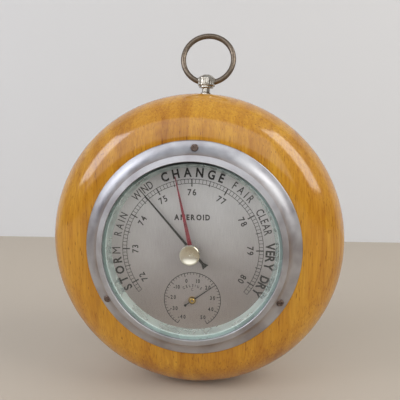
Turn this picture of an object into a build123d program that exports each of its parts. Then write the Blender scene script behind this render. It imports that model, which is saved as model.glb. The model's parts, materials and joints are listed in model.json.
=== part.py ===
"""Aneroid barometer in a round turned wood case, with a thermometer in its dial.

Millimetres. The back of the case lies on the plane y = 0 and the front faces -Y; +Z is up.
The origin is the middle of the back face, on the axis of the dial. "Depth" always means the
distance in front of the back face, so a piece at depth d lies at y = -d.
"""

import os
from math import acos, atan2, cos, degrees, radians, sin, sqrt

from build123d import *

# ---------------------------------------------------------------- driving dimensions
# clearances and stock
RUNNING = 0.05            # radial clearance of a pivot in its hole
GAP = 0.3                 # air between pieces that move past each other
FIT = 0.4                 # radial clearance of a loose seat, such as the pan in its bore
SHEET = 0.6               # brass sheet of the pan and of the dial

# what shows through the glass, from the dial outwards
VIEW_RADIUS = 41.2        # dial that shows inside the reflector
REFLECTOR_FLARE = 1.6     # how much wider the reflector is at the glass
REFLECTOR_DEPTH = 5.0     # dial face to glass
REFLECTOR_EDGE = 2.0      # flat rim of the reflector, under the edge of the glass
GLASS_THICK = 2.0
DIAL_MARGIN = 0.6         # dial beyond the glass, under the bezel

# wood case
COVER_THICK = 2.5         # fibreboard back cover
COVER_SUNK = 0.5          # how deep the cover lies under the back face
COVER_INSET = 1.5         # edge of the cover inside the edge of the dial
COVER_SEAT = 4.7          # width of the wooden web that carries the cover
WEB_THICK = 5.0
CASE_MARGIN = 1.6         # flat wood left round the bezel
ROUND_WIDTH = 24.0        # radial width of the rounded ring
CASE_WIDEST = 21.5        # depth at which the case is widest

# bezel
PAN_LIP = 2.1             # width of the pan's flange
SCREW_INSET = 1.9         # bezel screws outside the pan's flange
BEZEL_TURNS = (1.7, 120.2, 239.2)  # bezel screws clockwise from the top, drilled by eye
BEZEL_WIDTH = 9.3         # from the glass seat to the bezel's edge
BEZEL_EDGE = 0.6          # thickness of the bezel's edge
BEZEL_RISE = 8.5          # how far the rim stands in front of the wood
RIM_WIDTH = 1.9           # width of the proud rim
LIP_BEVEL = 0.2           # sloping inner edge of the rim

# movement, from the pan's floor forwards
FEET_INSET = 3.5          # middle of the dial's feet inside the wooden web
BASE_INSET = 3.0          # edge of the base plate inside the circle of the feet
BASE_THICK = 2.0
PILLAR_INSET = 7.0        # bridge pillars and rocking shaft inside the plate's edge
CAPSULE_INSET = 14.0      # rim of the capsule inside the plate's edge
CAPSULE_FOOT = 1.5        # air between the base plate and the capsule
CAPSULE_BULGE = 2.7       # rim of the capsule to the middle of a diaphragm
DIAPHRAGM = 0.3
LEAF = 0.8                # mainspring strip
LEAF_WIDTH = 14.0
LEAF_FOOT = 12.0          # lower leaf, from the bend to its end
LEAF_END = 3.5            # upper leaf beyond the capsule's post
BEND_RADIUS = 7.6         # middle line of the mainspring's bend
LEVER_THICK = 1.2
LEVER_WIDTH = 3.5
LEVER_X = -4.75
BRIDGE_CLEAR = 2.8        # lever to bridge
BRIDGE_THICK = 1.6
PULLEY_RISE = 3.6         # bridge face to the middle of the chain
COCK_RISE = 5.8           # bridge face to the arbor cock
COCK_THICK = 1.4
DIAL_CLEAR = 5.6          # arbor cock to the back of the dial

# linkage
LONG_ARM = 12.0
SHORT_ARM = 3.0
CHAIN_X = -1.2            # line of the chain beside the axis

# pointers, as radii from their own axis
POINTER_REACH = 36.4
POINTER_TAIL = 10.7
POINTER_TURN = -40.3      # degrees from the top of the dial, clockwise positive
SET_HAND_REACH = 37.8
SET_HAND_TURN = -11.9
HAND_THICK = 0.3
THERMOMETER_INSET = 15.2  # centre of the thermometer inside the edge of the view
THERMOMETER_REACH = 14.2
THERMOMETER_TAIL = 4.3
THERMOMETER_TURN = 54.5

# setting knob
KNOB_RADIUS = 4.8
KNOB_HEIGHT = 5.4
KNOB_NECK = 3.4
STEM_RADIUS = 1.9

# hanger
HANGER_TURN = 3.6         # degrees the hanger stands clockwise from the top of the dial
POST_NECK = 2.15
HEAD_RADIUS = 4.8
HEAD_FOOT = 3.2           # neck showing between wood and head
HEAD_HEIGHT = 7.1
RING_RADIUS = 13.6        # middle line of the ring's wire
WIRE_RADIUS = 1.4
RING_LEAN = 15.0          # degrees the ring tips back at rest

# ---------------------------------------------------------------- worked out from those
reflector_front = VIEW_RADIUS + REFLECTOR_FLARE
glass_radius = reflector_front + REFLECTOR_EDGE
bezel_bore = glass_radius + GAP
dial_radius = glass_radius + DIAL_MARGIN
pan_radius = dial_radius + 2 * SHEET
lip_radius = pan_radius + PAN_LIP
screw_circle = lip_radius + SCREW_INSET
bezel_radius = bezel_bore + BEZEL_WIDTH
flat_radius = bezel_radius + CASE_MARGIN
case_radius = flat_radius + ROUND_WIDTH
cover_radius = dial_radius - COVER_INSET
web_radius = cover_radius - COVER_SEAT + GAP

feet_circle = web_radius - FEET_INSET
base_radius = feet_circle - BASE_INSET
capsule_radius = base_radius - CAPSULE_INSET
bend_z = base_radius                    # the mainspring bends above the plate's top edge
shaft_z = PILLAR_INSET - base_radius    # the rocking shaft lies below the axis
thermometer_z = THERMOMETER_INSET - VIEW_RADIUS

web_back = COVER_SUNK + COVER_THICK
web_front = web_back + WEB_THICK
pan_back = web_front + FIT
floor = pan_back + SHEET
base_front = floor + BASE_THICK
capsule_middle = base_front + CAPSULE_FOOT + CAPSULE_BULGE + DIAPHRAGM
leaf_top = base_front + 2 * BEND_RADIUS + LEAF
lever_front = leaf_top + LEVER_THICK
bridge_back = lever_front + BRIDGE_CLEAR
bridge_front = bridge_back + BRIDGE_THICK
chain_depth = bridge_front + PULLEY_RISE
shaft_depth = chain_depth - LONG_ARM
cock_back = bridge_front + COCK_RISE
cock_front = cock_back + COCK_THICK
dial_back = cock_front + DIAL_CLEAR
case_depth = dial_back + SHEET          # the dial lies level with the front of the wood
glass_back = case_depth + REFLECTOR_DEPTH
glass_front = glass_back + GLASS_THICK
rim_front = case_depth + BEZEL_RISE


def level(depth):
    """Sketch plane at a depth: local x is +X, local y is +Z, and it looks to the front."""
    return Plane.XZ.offset(depth)


def across(x):
    """Sketch plane across the case at an x: local x is +Y (minus the depth), local y is +Z."""
    return Plane.YZ.offset(x)


def turned(*outline):
    """Face of a turned piece, from (radius, depth) corners, to be revolved about the Y axis."""
    with BuildSketch(Plane.XY) as face:
        with BuildLine():
            Polyline(*[(radius, -depth) for radius, depth in outline], close=True)
        make_face()
    return face.sketch


def rounds(depth, radius, spots=((0, 0),)):
    """Circles of one radius at (x, z) spots on the plane at a depth."""
    with BuildSketch(level(depth)) as face:
        with Locations(*spots):
            Circle(radius)
    return face.sketch


def bars(depth, width, height, spots=((0, 0),)):
    """Rectangles of one size at (x, z) spots on the plane at a depth."""
    with BuildSketch(level(depth)) as face:
        with Locations(*spots):
            Rectangle(width, height)
    return face.sketch


def spread(radius, count, first):
    """Spots evenly spread on a circle; first is the angle of the first one from +X."""
    turns = [radians(first + 360 * step / count) for step in range(count)]
    return [(radius * cos(turn), radius * sin(turn)) for turn in turns]


def cap(radius, height):
    """Radius of the sphere whose cap has this radius and height, and the angle where it starts."""
    sphere = (radius**2 + height**2) / (2 * height)
    return sphere, degrees(acos(radius / sphere))


def spiral(depth, strip, first_radius, pitch, turns, centre=(0, 0)):
    """Flat strip wound in half circles about two centres, half a pitch apart."""
    with BuildSketch(level(depth)) as face:
        with BuildLine():
            for half in range(2 * turns):
                shift = pitch / 2 * (half % 2)
                CenterArc((centre[0] + shift, centre[1]), first_radius + half * pitch / 2,
                          180 * (half % 2), 180)
        trace(line_width=strip)
    return face.sketch


def cheese_head_screws(spots, seat, outward, head_radius, head_height, shank_radius, shank_length):
    """Slotted screws whose heads stand on a seat; outward is 1 to the front, -1 to the back."""
    with BuildPart() as screws:
        extrude(rounds(seat, head_radius, spots), amount=outward * head_height)
        tops = screws.edges().filter_by(GeomType.CIRCLE).sort_by(Axis.Y)
        tops = tops[:len(spots)] if outward > 0 else tops[-len(spots):]
        fillet(tops, head_height * 0.35)
        extrude(rounds(seat, shank_radius, spots), amount=-outward * shank_length)
        slots = bars(seat + outward * head_height, 2.2 * head_radius, head_radius / 4, spots)
        extrude(slots, amount=-outward * head_height * 0.45, mode=Mode.SUBTRACT)
    return screws


def countersunk_screws(spots, top, head_radius, head_height, shank_radius, length):
    """Slotted countersunk screws whose flat heads face the back, level with a depth."""
    slope = degrees(atan2(head_radius - shank_radius, head_height))
    with BuildPart() as screws:
        extrude(rounds(top, head_radius, spots), amount=head_height, taper=slope)
        extrude(rounds(top, shank_radius, spots), amount=length)
        slots = bars(top, 2.2 * head_radius, head_radius / 4, spots)
        extrude(slots, amount=head_height * 0.4, mode=Mode.SUBTRACT)
    return screws


# ---------------------------------------------------------------- hanger planes
turn = radians(HANGER_TURN)
up = Vector(sin(turn), 0, cos(turn))          # along the hanger's post
side = Vector(cos(turn), 0, -sin(turn))       # across it, the ring's hinge line


def hanger_point(distance):
    """Point on the post's centre line, at a distance from the axis of the dial."""
    return Vector(0, -CASE_WIDEST, 0) + up * distance


def hanger_level(distance):
    """Plane square to the post, looking outwards."""
    return Plane(origin=hanger_point(distance), x_dir=side, z_dir=up)


hanger_face = Plane(origin=hanger_point(0), x_dir=side, z_dir=(0, -1, 0))
hanger_axis = Axis(hanger_point(0), up)
SPOT_FACE = 0.25                              # how deep the foot is let into the round wood
EYE_RISE = 2.6                                # ring hole above the underside of the head
POST_LENGTH = 18.0                            # thread in the wood
FOOT_RADIUS = 2.9
foot_seat = case_radius - SPOT_FACE
head_back = case_radius + HEAD_FOOT
head_top = head_back + HEAD_HEIGHT
eye_distance = head_back + EYE_RISE

# ---------------------------------------------------------------- case and cover
COVER_SCREWS = spread(web_radius + 0.45 * COVER_SEAT, 3, 90)
BEZEL_SCREWS = [spread(screw_circle, 1, 90 - turn)[0] for turn in BEZEL_TURNS]
BASE_SCREWS = [(x, z) for x in (-0.6 * base_radius, 0.6 * base_radius)
               for z in (-0.5 * base_radius, 0.5 * base_radius)]
FEET = spread(feet_circle, 3, 30)
ADJUSTER_INSET = 2.5                          # adjusting screw below the middle of the bend
ADJUSTER = (0, bend_z - ADJUSTER_INSET)
BEZEL_SCREW_SHANK = 1.2
BEZEL_SCREW_LENGTH = 10.0
BEZEL_SCREW_SEAT = 1.0                        # metal under a screw head, above the bezel's edge
COVER_SCREW_SHANK = 0.8
COVER_SCREW_HEAD = 1.6
COVER_HEAD_HEIGHT = 1.1
COVER_PILOT = 4.0                             # depth of the cover's screws in the web
bezel_seat = case_depth + BEZEL_EDGE + BEZEL_SCREW_SEAT

with BuildPart() as wood_case:
    with BuildSketch(Plane.XY):
        with BuildLine():
            Polyline(
                (flat_radius, 0),
                (cover_radius + GAP, 0),
                (cover_radius + GAP, -web_back),
                (web_radius, -web_back),
                (web_radius, -web_front),
                (pan_radius + FIT, -web_front),
                (pan_radius + FIT, SHEET - case_depth),
                (lip_radius + GAP, SHEET - case_depth),
                (lip_radius + GAP, -case_depth),
                (flat_radius, -case_depth),
            )
            EllipticalCenterArc((flat_radius, -CASE_WIDEST), ROUND_WIDTH,
                                case_depth - CASE_WIDEST, start_angle=270, arc_size=90)
            EllipticalCenterArc((flat_radius, -CASE_WIDEST), ROUND_WIDTH,
                                CASE_WIDEST, start_angle=0, arc_size=90)
        make_face()
    revolve(axis=Axis.Y)
    bezel_pilots = rounds(case_depth, BEZEL_SCREW_SHANK, BEZEL_SCREWS)
    extrude(bezel_pilots, amount=bezel_seat - case_depth - BEZEL_SCREW_LENGTH, mode=Mode.SUBTRACT)
    cover_pilots = rounds(web_back, COVER_SCREW_SHANK, COVER_SCREWS)
    extrude(cover_pilots, amount=COVER_PILOT, mode=Mode.SUBTRACT)
    with BuildSketch(hanger_level(case_radius - POST_LENGTH)):
        Circle(POST_NECK)
    extrude(amount=POST_LENGTH + SPOT_FACE, mode=Mode.SUBTRACT)
    with BuildSketch(hanger_level(foot_seat)):
        Circle(FOOT_RADIUS)
    extrude(amount=2 * SPOT_FACE, mode=Mode.SUBTRACT)

ADJUSTER_HOLE = 4.0
VENT_HOLE = 1.5
VENT_CIRCLE = 10.0
with BuildPart() as back_cover:
    extrude(rounds(COVER_SUNK, cover_radius), amount=COVER_THICK)
    extrude(rounds(COVER_SUNK, ADJUSTER_HOLE, [ADJUSTER]), amount=COVER_THICK, mode=Mode.SUBTRACT)
    vents = rounds(COVER_SUNK, VENT_HOLE, spread(VENT_CIRCLE, 3, 270))
    extrude(vents, amount=COVER_THICK, mode=Mode.SUBTRACT)
    sink = degrees(atan2(COVER_SCREW_HEAD - COVER_SCREW_SHANK, COVER_HEAD_HEIGHT))
    heads = rounds(COVER_SUNK, COVER_SCREW_HEAD, COVER_SCREWS)
    extrude(heads, amount=COVER_HEAD_HEIGHT, taper=sink, mode=Mode.SUBTRACT)
    shanks = rounds(COVER_SUNK, COVER_SCREW_SHANK, COVER_SCREWS)
    extrude(shanks, amount=COVER_THICK, mode=Mode.SUBTRACT)

cover_screws = countersunk_screws(COVER_SCREWS, COVER_SUNK, COVER_SCREW_HEAD, COVER_HEAD_HEIGHT,
                                  COVER_SCREW_SHANK, COVER_THICK + COVER_PILOT)

# ---------------------------------------------------------------- pan, bezel and glass
PAN_CORNER = 2.0          # coned corner between the pan's floor and its wall
BASE_SCREW_SHANK = 1.2
FOOT_SCREW_SHANK = 0.9
SCREW_PLAY = 0.2          # radial clearance of a screw in a plain hole
ADJUSTER_HEAD = 2.6
with BuildPart() as movement_pan:
    inner = PAN_CORNER + 0.4 * SHEET
    revolve(turned((0, pan_back), (pan_radius - PAN_CORNER, pan_back),
                   (pan_radius, pan_back + PAN_CORNER), (pan_radius, case_depth - SHEET),
                   (lip_radius, case_depth - SHEET), (lip_radius, case_depth),
                   (pan_radius - SHEET, case_depth), (pan_radius - SHEET, pan_back + inner),
                   (pan_radius - inner, floor), (0, floor)), axis=Axis.Y)
    for radius, spots in ((BASE_SCREW_SHANK + SCREW_PLAY, BASE_SCREWS),
                          (FOOT_SCREW_SHANK + SCREW_PLAY, FEET),
                          (ADJUSTER_HEAD + GAP, [ADJUSTER])):
        extrude(rounds(pan_back, radius, spots), amount=SHEET, mode=Mode.SUBTRACT)

SCREW_HEAD = 1.8
SCREW_HEAD_HEIGHT = 1.3
LIP_OVERLAP = 0.9         # how far the lip covers the edge of the glass
RIM_LANDS = 3             # turned lands of the rim, each a step lower than the one inside it
RIM_STEP = 0.35           # height of the step between two lands
LAND_FALL = 0.2           # slope of a land, outwards
EDGE_ROUND = 0.8          # rounded outer edge of the bezel
COVE = 0.7                # how far the broad face is hollowed
with BuildPart() as bezel:
    rim_outer = bezel_bore + RIM_WIDTH
    lip_inner = glass_radius - LIP_OVERLAP
    land = (rim_outer - lip_inner - LIP_BEVEL) / RIM_LANDS
    lands = [(lip_inner + LIP_BEVEL, -rim_front)]
    for _ in range(RIM_LANDS):
        inner, top = lands[-1]
        lands += [(inner + land, top + LAND_FALL), (inner + land, top + LAND_FALL + RIM_STEP)]
    shoulder = -lands[-1][1]
    edge_front = case_depth + BEZEL_EDGE
    with BuildSketch(Plane.XY):
        with BuildLine():
            Polyline((bezel_bore, -case_depth), (bezel_radius, -case_depth),
                     (bezel_radius, -edge_front))
            RadiusArc((bezel_radius, -edge_front),
                      (bezel_radius - EDGE_ROUND, -edge_front - 0.75 * EDGE_ROUND), 1.1 * EDGE_ROUND)
            ThreePointArc((bezel_radius - EDGE_ROUND, -edge_front - 0.75 * EDGE_ROUND),
                          ((bezel_radius + rim_outer - COVE) / 2, COVE - (case_depth + shoulder) / 2),
                          lands[-1])
            Polyline(*reversed(lands),
                     (lip_inner, LIP_BEVEL - rim_front), (lip_inner, -glass_front),
                     (bezel_bore, -glass_front), (bezel_bore, -case_depth))
        make_face()
    revolve(axis=Axis.Y)
    recesses = rounds(bezel_seat, SCREW_HEAD + SCREW_PLAY, BEZEL_SCREWS)
    extrude(recesses, amount=BEZEL_RISE, mode=Mode.SUBTRACT)
    holes = rounds(case_depth, BEZEL_SCREW_SHANK, BEZEL_SCREWS)
    extrude(holes, amount=BEZEL_RISE, mode=Mode.SUBTRACT)

bezel_screws = cheese_head_screws(BEZEL_SCREWS, bezel_seat, 1, SCREW_HEAD, SCREW_HEAD_HEIGHT,
                                  BEZEL_SCREW_SHANK, BEZEL_SCREW_LENGTH)

with BuildPart() as glass:
    extrude(rounds(glass_back, glass_radius), amount=GLASS_THICK)
    extrude(rounds(glass_back, STEM_RADIUS + RUNNING), amount=GLASS_THICK, mode=Mode.SUBTRACT)

with BuildPart() as reflector_ring:
    revolve(turned((VIEW_RADIUS, case_depth), (glass_radius, case_depth),
                   (glass_radius, glass_back), (reflector_front, glass_back)), axis=Axis.Y)

# ---------------------------------------------------------------- dial and its feet
ARBOR_HOLE = 2.0
BUSH_RADIUS = 1.4
FOOT_POST = 1.5
FOOT_SCREW_HEAD = 2.0
FOOT_HEAD_HEIGHT = 1.2
FOOT_SCREW_GRIP = 5.0     # thread in a foot
THERMOMETER = (0, thermometer_z)
with BuildPart() as dial:
    extrude(rounds(dial_back, dial_radius), amount=SHEET)
    extrude(rounds(dial_back, ARBOR_HOLE), amount=SHEET, mode=Mode.SUBTRACT)
    extrude(rounds(dial_back, BUSH_RADIUS, [THERMOMETER]), amount=SHEET, mode=Mode.SUBTRACT)

with BuildPart() as dial_feet:
    extrude(rounds(floor, FOOT_POST, FEET), amount=dial_back - floor)
    extrude(rounds(floor, FOOT_SCREW_SHANK, FEET), amount=FOOT_SCREW_GRIP, mode=Mode.SUBTRACT)

dial_feet_screws = cheese_head_screws(FEET, pan_back, -1, FOOT_SCREW_HEAD, FOOT_HEAD_HEIGHT,
                                      FOOT_SCREW_SHANK, SHEET + FOOT_SCREW_GRIP)

# ---------------------------------------------------------------- base plate and capsule
PILLARS = [(PILLAR_INSET - base_radius, 0), (base_radius - PILLAR_INSET, 0)]
STUD_RADIUS = 1.2         # threaded ends of pillars
CAPSULE_STUD = 2.0
CLAMP_BREADTH = 5.0       # clamp plate along the leaf
CLAMP_SPACING = 8.0       # between its two screws
CLAMP_SHANK = 0.9
CLAMP_SCREW_HEAD = 1.7
CLAMP_HEAD_HEIGHT = 1.1
clamp_z = bend_z - LEAF_FOOT + 0.8 * CLAMP_BREADTH
CLAMP_SCREWS = [(-CLAMP_SPACING / 2, clamp_z), (CLAMP_SPACING / 2, clamp_z)]
COCK_PLATE = 1.5
COCK_WIDTH = 5.0
COCKS = (-11.1, 7.6)      # low-x face of each cock of the rocking shaft
COCK_FOOT = 5.0
BASE_SCREW_HEAD = 2.4
BASE_HEAD_HEIGHT = 1.4
COCK_SCREW_SPOTS = [(COCKS[0] - COCK_FOOT / 2, shaft_z),
                    (COCKS[1] + COCK_PLATE + COCK_FOOT / 2, shaft_z)]
ADJUSTER_SHANK = 1.5

with BuildPart() as base_plate:
    extrude(rounds(floor, base_radius), amount=BASE_THICK)
    for radius, spots in ((BASE_SCREW_SHANK, BASE_SCREWS), (STUD_RADIUS, PILLARS),
                          (CAPSULE_STUD, [(0, 0)]), (CLAMP_SHANK, CLAMP_SCREWS + COCK_SCREW_SPOTS),
                          (ADJUSTER_SHANK + RUNNING, [ADJUSTER])):
        extrude(rounds(floor, radius, spots), amount=BASE_THICK, mode=Mode.SUBTRACT)

base_plate_screws = cheese_head_screws(BASE_SCREWS, pan_back, -1, BASE_SCREW_HEAD,
                                       BASE_HEAD_HEIGHT, BASE_SCREW_SHANK, SHEET + BASE_THICK)

CAPSULE_FLANGE = 2.0      # flat rim where the two diaphragms are soldered
CAPSULE_CENTRE = 4.0      # flat middle of a diaphragm
RIPPLE = 0.5              # height of the corrugations
WAVES = 5


def diaphragm(facing):
    """Corrugated capsule wall; facing is 1 for the front one and -1 for the back one."""
    middle = capsule_middle + facing * DIAPHRAGM / 2
    start = capsule_radius - CAPSULE_FLANGE
    step = (start - CAPSULE_CENTRE) / (2 * WAVES)
    with BuildSketch(Plane.XY) as wall:
        with BuildLine():
            points = [(capsule_radius, -middle), (start, -middle)]
            for fold in range(1, 2 * WAVES):
                rise = CAPSULE_BULGE * min(1, (fold + 1) / 4) - RIPPLE * (fold % 2)
                points.append((start - fold * step, -middle - facing * rise))
            points.append((CAPSULE_CENTRE, -middle - facing * CAPSULE_BULGE))
            points.append((0.01, -middle - facing * CAPSULE_BULGE))
            Polyline(*points)
        trace(line_width=DIAPHRAGM)
    return wall.sketch


with BuildPart() as capsule_lower_diaphragm:
    revolve(diaphragm(-1), axis=Axis.Y)

with BuildPart() as capsule_upper_diaphragm:
    revolve(diaphragm(1), axis=Axis.Y)

BOSS_RADIUS = 3.2
capsule_back = capsule_middle - CAPSULE_BULGE - DIAPHRAGM
capsule_front = capsule_middle + CAPSULE_BULGE + DIAPHRAGM
with BuildPart() as capsule_foot:
    extrude(rounds(floor, CAPSULE_STUD), amount=BASE_THICK)
    extrude(rounds(base_front, BOSS_RADIUS), amount=capsule_back - base_front)

POST_RADIUS = 1.5
POST_FLANGE = 1.0
POST_TOP = 1.2            # post above the middle of its pin
SOLDER = 0.02             # solder between the post and the diaphragm
PIN_RADIUS = 0.5
PIN_LENGTH = 5.2
post_back = capsule_front + SOLDER
pin_depth = leaf_top + RUNNING + PIN_RADIUS
with BuildPart() as capsule_post:
    extrude(rounds(post_back, BOSS_RADIUS), amount=POST_FLANGE)
    extrude(rounds(post_back, POST_RADIUS), amount=pin_depth + POST_TOP - post_back)
    with BuildSketch(across(-POST_RADIUS)):
        with Locations((-pin_depth, 0)):
            Circle(PIN_RADIUS)
    extrude(amount=2 * POST_RADIUS, mode=Mode.SUBTRACT)

with BuildPart() as post_pin:
    with BuildSketch(across(-PIN_LENGTH / 2)):
        with Locations((-pin_depth, 0)):
            Circle(PIN_RADIUS)
    extrude(amount=PIN_LENGTH)

# ---------------------------------------------------------------- mainspring and lever
LEVER_DROP = 11.0         # top of the lever below the middle of the bend
LEVER_SCREW_EDGE = 3.0    # upper lever screw below the lever's top
LEVER_SCREW_SPACING = 8.0
LEVER_SHANK = 0.7
LEVER_SCREW_HEAD = 1.3
LEVER_HEAD_HEIGHT = 0.9
LINK_WIDTH = 1.6
LEVER_ROUND = 1.0
lever_top_z = bend_z - LEVER_DROP
lever_tip_z = shaft_z + SHORT_ARM
upper_screw_z = lever_top_z - LEVER_SCREW_EDGE
LEVER_SCREWS = [(LEVER_X, upper_screw_z), (LEVER_X, upper_screw_z - LEVER_SCREW_SPACING)]
with BuildPart() as mainspring:
    low = base_front + LEAF / 2
    high = low + 2 * BEND_RADIUS
    with BuildSketch(across(-LEAF_WIDTH / 2)):
        with BuildLine():
            Line((-low, bend_z - LEAF_FOOT), (-low, bend_z))
            ThreePointArc((-low, bend_z), (-low - BEND_RADIUS, bend_z + BEND_RADIUS), (-high, bend_z))
            Line((-high, bend_z), (-high, -LEAF_END))
        trace(line_width=LEAF)
    extrude(amount=LEAF_WIDTH)
    extrude(rounds(base_front, CLAMP_SHANK, CLAMP_SCREWS), amount=2 * LEAF, mode=Mode.SUBTRACT)
    upper = leaf_top - 2 * LEAF
    extrude(rounds(upper, POST_RADIUS + FIT), amount=3 * LEAF, mode=Mode.SUBTRACT)
    lever_holes = rounds(upper, LEVER_SHANK + RUNNING, LEVER_SCREWS)
    extrude(lever_holes, amount=3 * LEAF, mode=Mode.SUBTRACT)

CLAMP_THICK = 2.0
with BuildPart() as spring_clamp:
    clamp_bar = bars(base_front + LEAF, LEAF_WIDTH - 2 * RUNNING, CLAMP_BREADTH, [(0, clamp_z)])
    extrude(clamp_bar, amount=CLAMP_THICK)
    clamp_holes = rounds(base_front + LEAF, CLAMP_SHANK, CLAMP_SCREWS)
    extrude(clamp_holes, amount=CLAMP_THICK, mode=Mode.SUBTRACT)

spring_clamp_screws = cheese_head_screws(CLAMP_SCREWS, base_front + LEAF + CLAMP_THICK, 1,
                                         CLAMP_SCREW_HEAD, CLAMP_HEAD_HEIGHT, CLAMP_SHANK,
                                         CLAMP_THICK + LEAF + BASE_THICK)

ADJUSTER_SUNK = 1.5       # screw head in front of the cover
ADJUSTER_SLOT = 0.8

with BuildPart() as adjusting_screw:
    head_face = web_back + ADJUSTER_SUNK
    extrude(rounds(head_face, ADJUSTER_HEAD, [ADJUSTER]), amount=pan_back - head_face - GAP)
    extrude(rounds(head_face, ADJUSTER_SHANK, [ADJUSTER]), amount=base_front - head_face - RUNNING)
    adjuster_slot = bars(head_face, 2.2 * ADJUSTER_HEAD, ADJUSTER_SLOT, [ADJUSTER])
    extrude(adjuster_slot, amount=1.5 * ADJUSTER_SLOT, mode=Mode.SUBTRACT)

with BuildPart() as main_lever:
    length = lever_top_z - lever_tip_z + 0.75 * LINK_WIDTH
    middle = lever_top_z - length / 2
    extrude(bars(leaf_top, LEVER_WIDTH, length, [(LEVER_X, middle)]), amount=LEVER_THICK)
    fillet(main_lever.edges().filter_by(Axis.Y), LEVER_ROUND)
    screw_holes = rounds(leaf_top, LEVER_SHANK, LEVER_SCREWS)
    extrude(screw_holes, amount=LEVER_THICK, mode=Mode.SUBTRACT)

lever_screws = cheese_head_screws(LEVER_SCREWS, lever_front, 1, LEVER_SCREW_HEAD,
                                  LEVER_HEAD_HEIGHT, LEVER_SHANK, LEVER_THICK + LEAF)

LINK_THICK = 0.8
LINK_PIN = 0.4
LINK_SLACK = 0.35         # play of the open pivot between link and short arm
LINK_EYE = 0.6            # metal round the link's eye
LINK_X = LEVER_X + RUNNING
with BuildPart() as link_rod:
    with BuildSketch(across(LINK_X)):
        with Locations((-(shaft_depth + leaf_top) / 2, lever_tip_z)):
            Rectangle(leaf_top - shaft_depth, LINK_WIDTH)
        with Locations((-shaft_depth, lever_tip_z)):
            Circle(LINK_PIN + LINK_SLACK + LINK_EYE)
            Circle(LINK_PIN + LINK_SLACK, mode=Mode.SUBTRACT)
    extrude(amount=LINK_THICK)

# ---------------------------------------------------------------- rocking shaft and chain
PIVOT_RADIUS = 0.6
PIVOT_END = 0.3           # pivot showing outside each cock
SHAFT_RADIUS = 1.2
END_SHAKE = 0.2           # axial play of the shaft between its cocks
SHORT_ARM_THICK = 1.2
SHORT_ARM_WIDTH = 2.0
LONG_ARM_THICK = 1.0
LONG_ARM_WIDTH = 1.8
PIN_PROUD = 0.4           # pins of the arms beyond the link or the chain
CHAIN_THICK = 0.5
CHAIN_PIN = 0.35
CHAIN_PLAY = 0.15         # air between the chain and the long arm
arm_x = CHAIN_X + CHAIN_THICK / 2 + CHAIN_PLAY        # low-x face of the long arm


def rod(x, length, radius, depth, z):
    """Round bar along X from a low x, as a face and its length for an extrude."""
    with BuildSketch(across(x)) as end:
        with Locations((-depth, z)):
            Circle(radius)
    return {"to_extrude": end.sketch, "amount": length}


with BuildPart() as rocking_shaft:
    inner_low = COCKS[0] + COCK_PLATE + END_SHAKE
    inner_high = COCKS[1] - END_SHAKE
    extrude(**rod(inner_low, inner_high - inner_low, SHAFT_RADIUS, shaft_depth, shaft_z))
    reach = COCKS[1] + COCK_PLATE - COCKS[0] + 2 * PIVOT_END
    extrude(**rod(COCKS[0] - PIVOT_END, reach, PIVOT_RADIUS, shaft_depth, shaft_z))
    with BuildSketch(across(LINK_X - PIN_PROUD - SHORT_ARM_THICK)):
        with Locations((-shaft_depth, shaft_z + SHORT_ARM / 2)):
            SlotCenterToCenter(SHORT_ARM, SHORT_ARM_WIDTH, rotation=90)
    extrude(amount=SHORT_ARM_THICK)
    link_pin = LINK_THICK + 2 * PIN_PROUD
    extrude(**rod(LINK_X - PIN_PROUD, link_pin, LINK_PIN, shaft_depth, lever_tip_z))
    with BuildSketch(across(arm_x)):
        with Locations((-(shaft_depth + chain_depth) / 2, shaft_z)):
            SlotCenterToCenter(LONG_ARM, LONG_ARM_WIDTH)
    extrude(amount=LONG_ARM_THICK)
    chain_pin = CHAIN_THICK + PIN_PROUD
    extrude(**rod(arm_x - chain_pin, chain_pin, CHAIN_PIN, chain_depth, shaft_z))

COCK_TOP = 2.0            # cock above the middle of its pivot
COCK_SCREW_HEAD = 1.6
COCK_HEAD_HEIGHT = 1.1

with BuildPart() as rocking_shaft_cocks:
    for face_x, foot_x in ((COCKS[0], COCKS[0] - COCK_FOOT), (COCKS[1], COCKS[1])):
        with BuildSketch(across(face_x)):
            with Locations((-(base_front + shaft_depth + COCK_TOP) / 2, shaft_z)):
                Rectangle(shaft_depth + COCK_TOP - base_front, COCK_WIDTH)
        extrude(amount=COCK_PLATE)
        with BuildSketch(across(foot_x)):
            with Locations((-base_front - COCK_PLATE / 2, shaft_z)):
                Rectangle(COCK_PLATE, COCK_WIDTH)
        extrude(amount=COCK_FOOT + COCK_PLATE)
    bored = COCKS[1] + COCK_PLATE - COCKS[0]
    pivots = rod(COCKS[0], bored, PIVOT_RADIUS + RUNNING, shaft_depth, shaft_z)
    extrude(**pivots, mode=Mode.SUBTRACT)
    cock_holes = rounds(base_front, CLAMP_SHANK, COCK_SCREW_SPOTS)
    extrude(cock_holes, amount=COCK_PLATE, mode=Mode.SUBTRACT)

cock_screws = cheese_head_screws(COCK_SCREW_SPOTS, base_front + COCK_PLATE, 1, COCK_SCREW_HEAD,
                                 COCK_HEAD_HEIGHT, CLAMP_SHANK, COCK_PLATE + BASE_THICK)

EYE_RADIUS = 0.95         # chain's end eye on the pin of the long arm
EYE_PLAY = 0.1
LINK_PITCH = 1.25
INNER_LINK = 0.5          # width of the chain's narrow links
OUTER_LINK = 0.75
with BuildPart() as chain:
    length = -shaft_z - EYE_RADIUS
    links = round(length / LINK_PITCH)
    with BuildSketch(across(CHAIN_X - CHAIN_THICK / 2)):
        for link in range(links):
            width = OUTER_LINK if link % 2 else INNER_LINK
            with Locations((-chain_depth, -(link + 0.5) * length / links)):
                SlotCenterToCenter(length / links, width, rotation=90)
        with Locations((-chain_depth, shaft_z)):
            Circle(EYE_RADIUS)
            Circle(CHAIN_PIN + EYE_PLAY, mode=Mode.SUBTRACT)
    extrude(amount=CHAIN_THICK)

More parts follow.
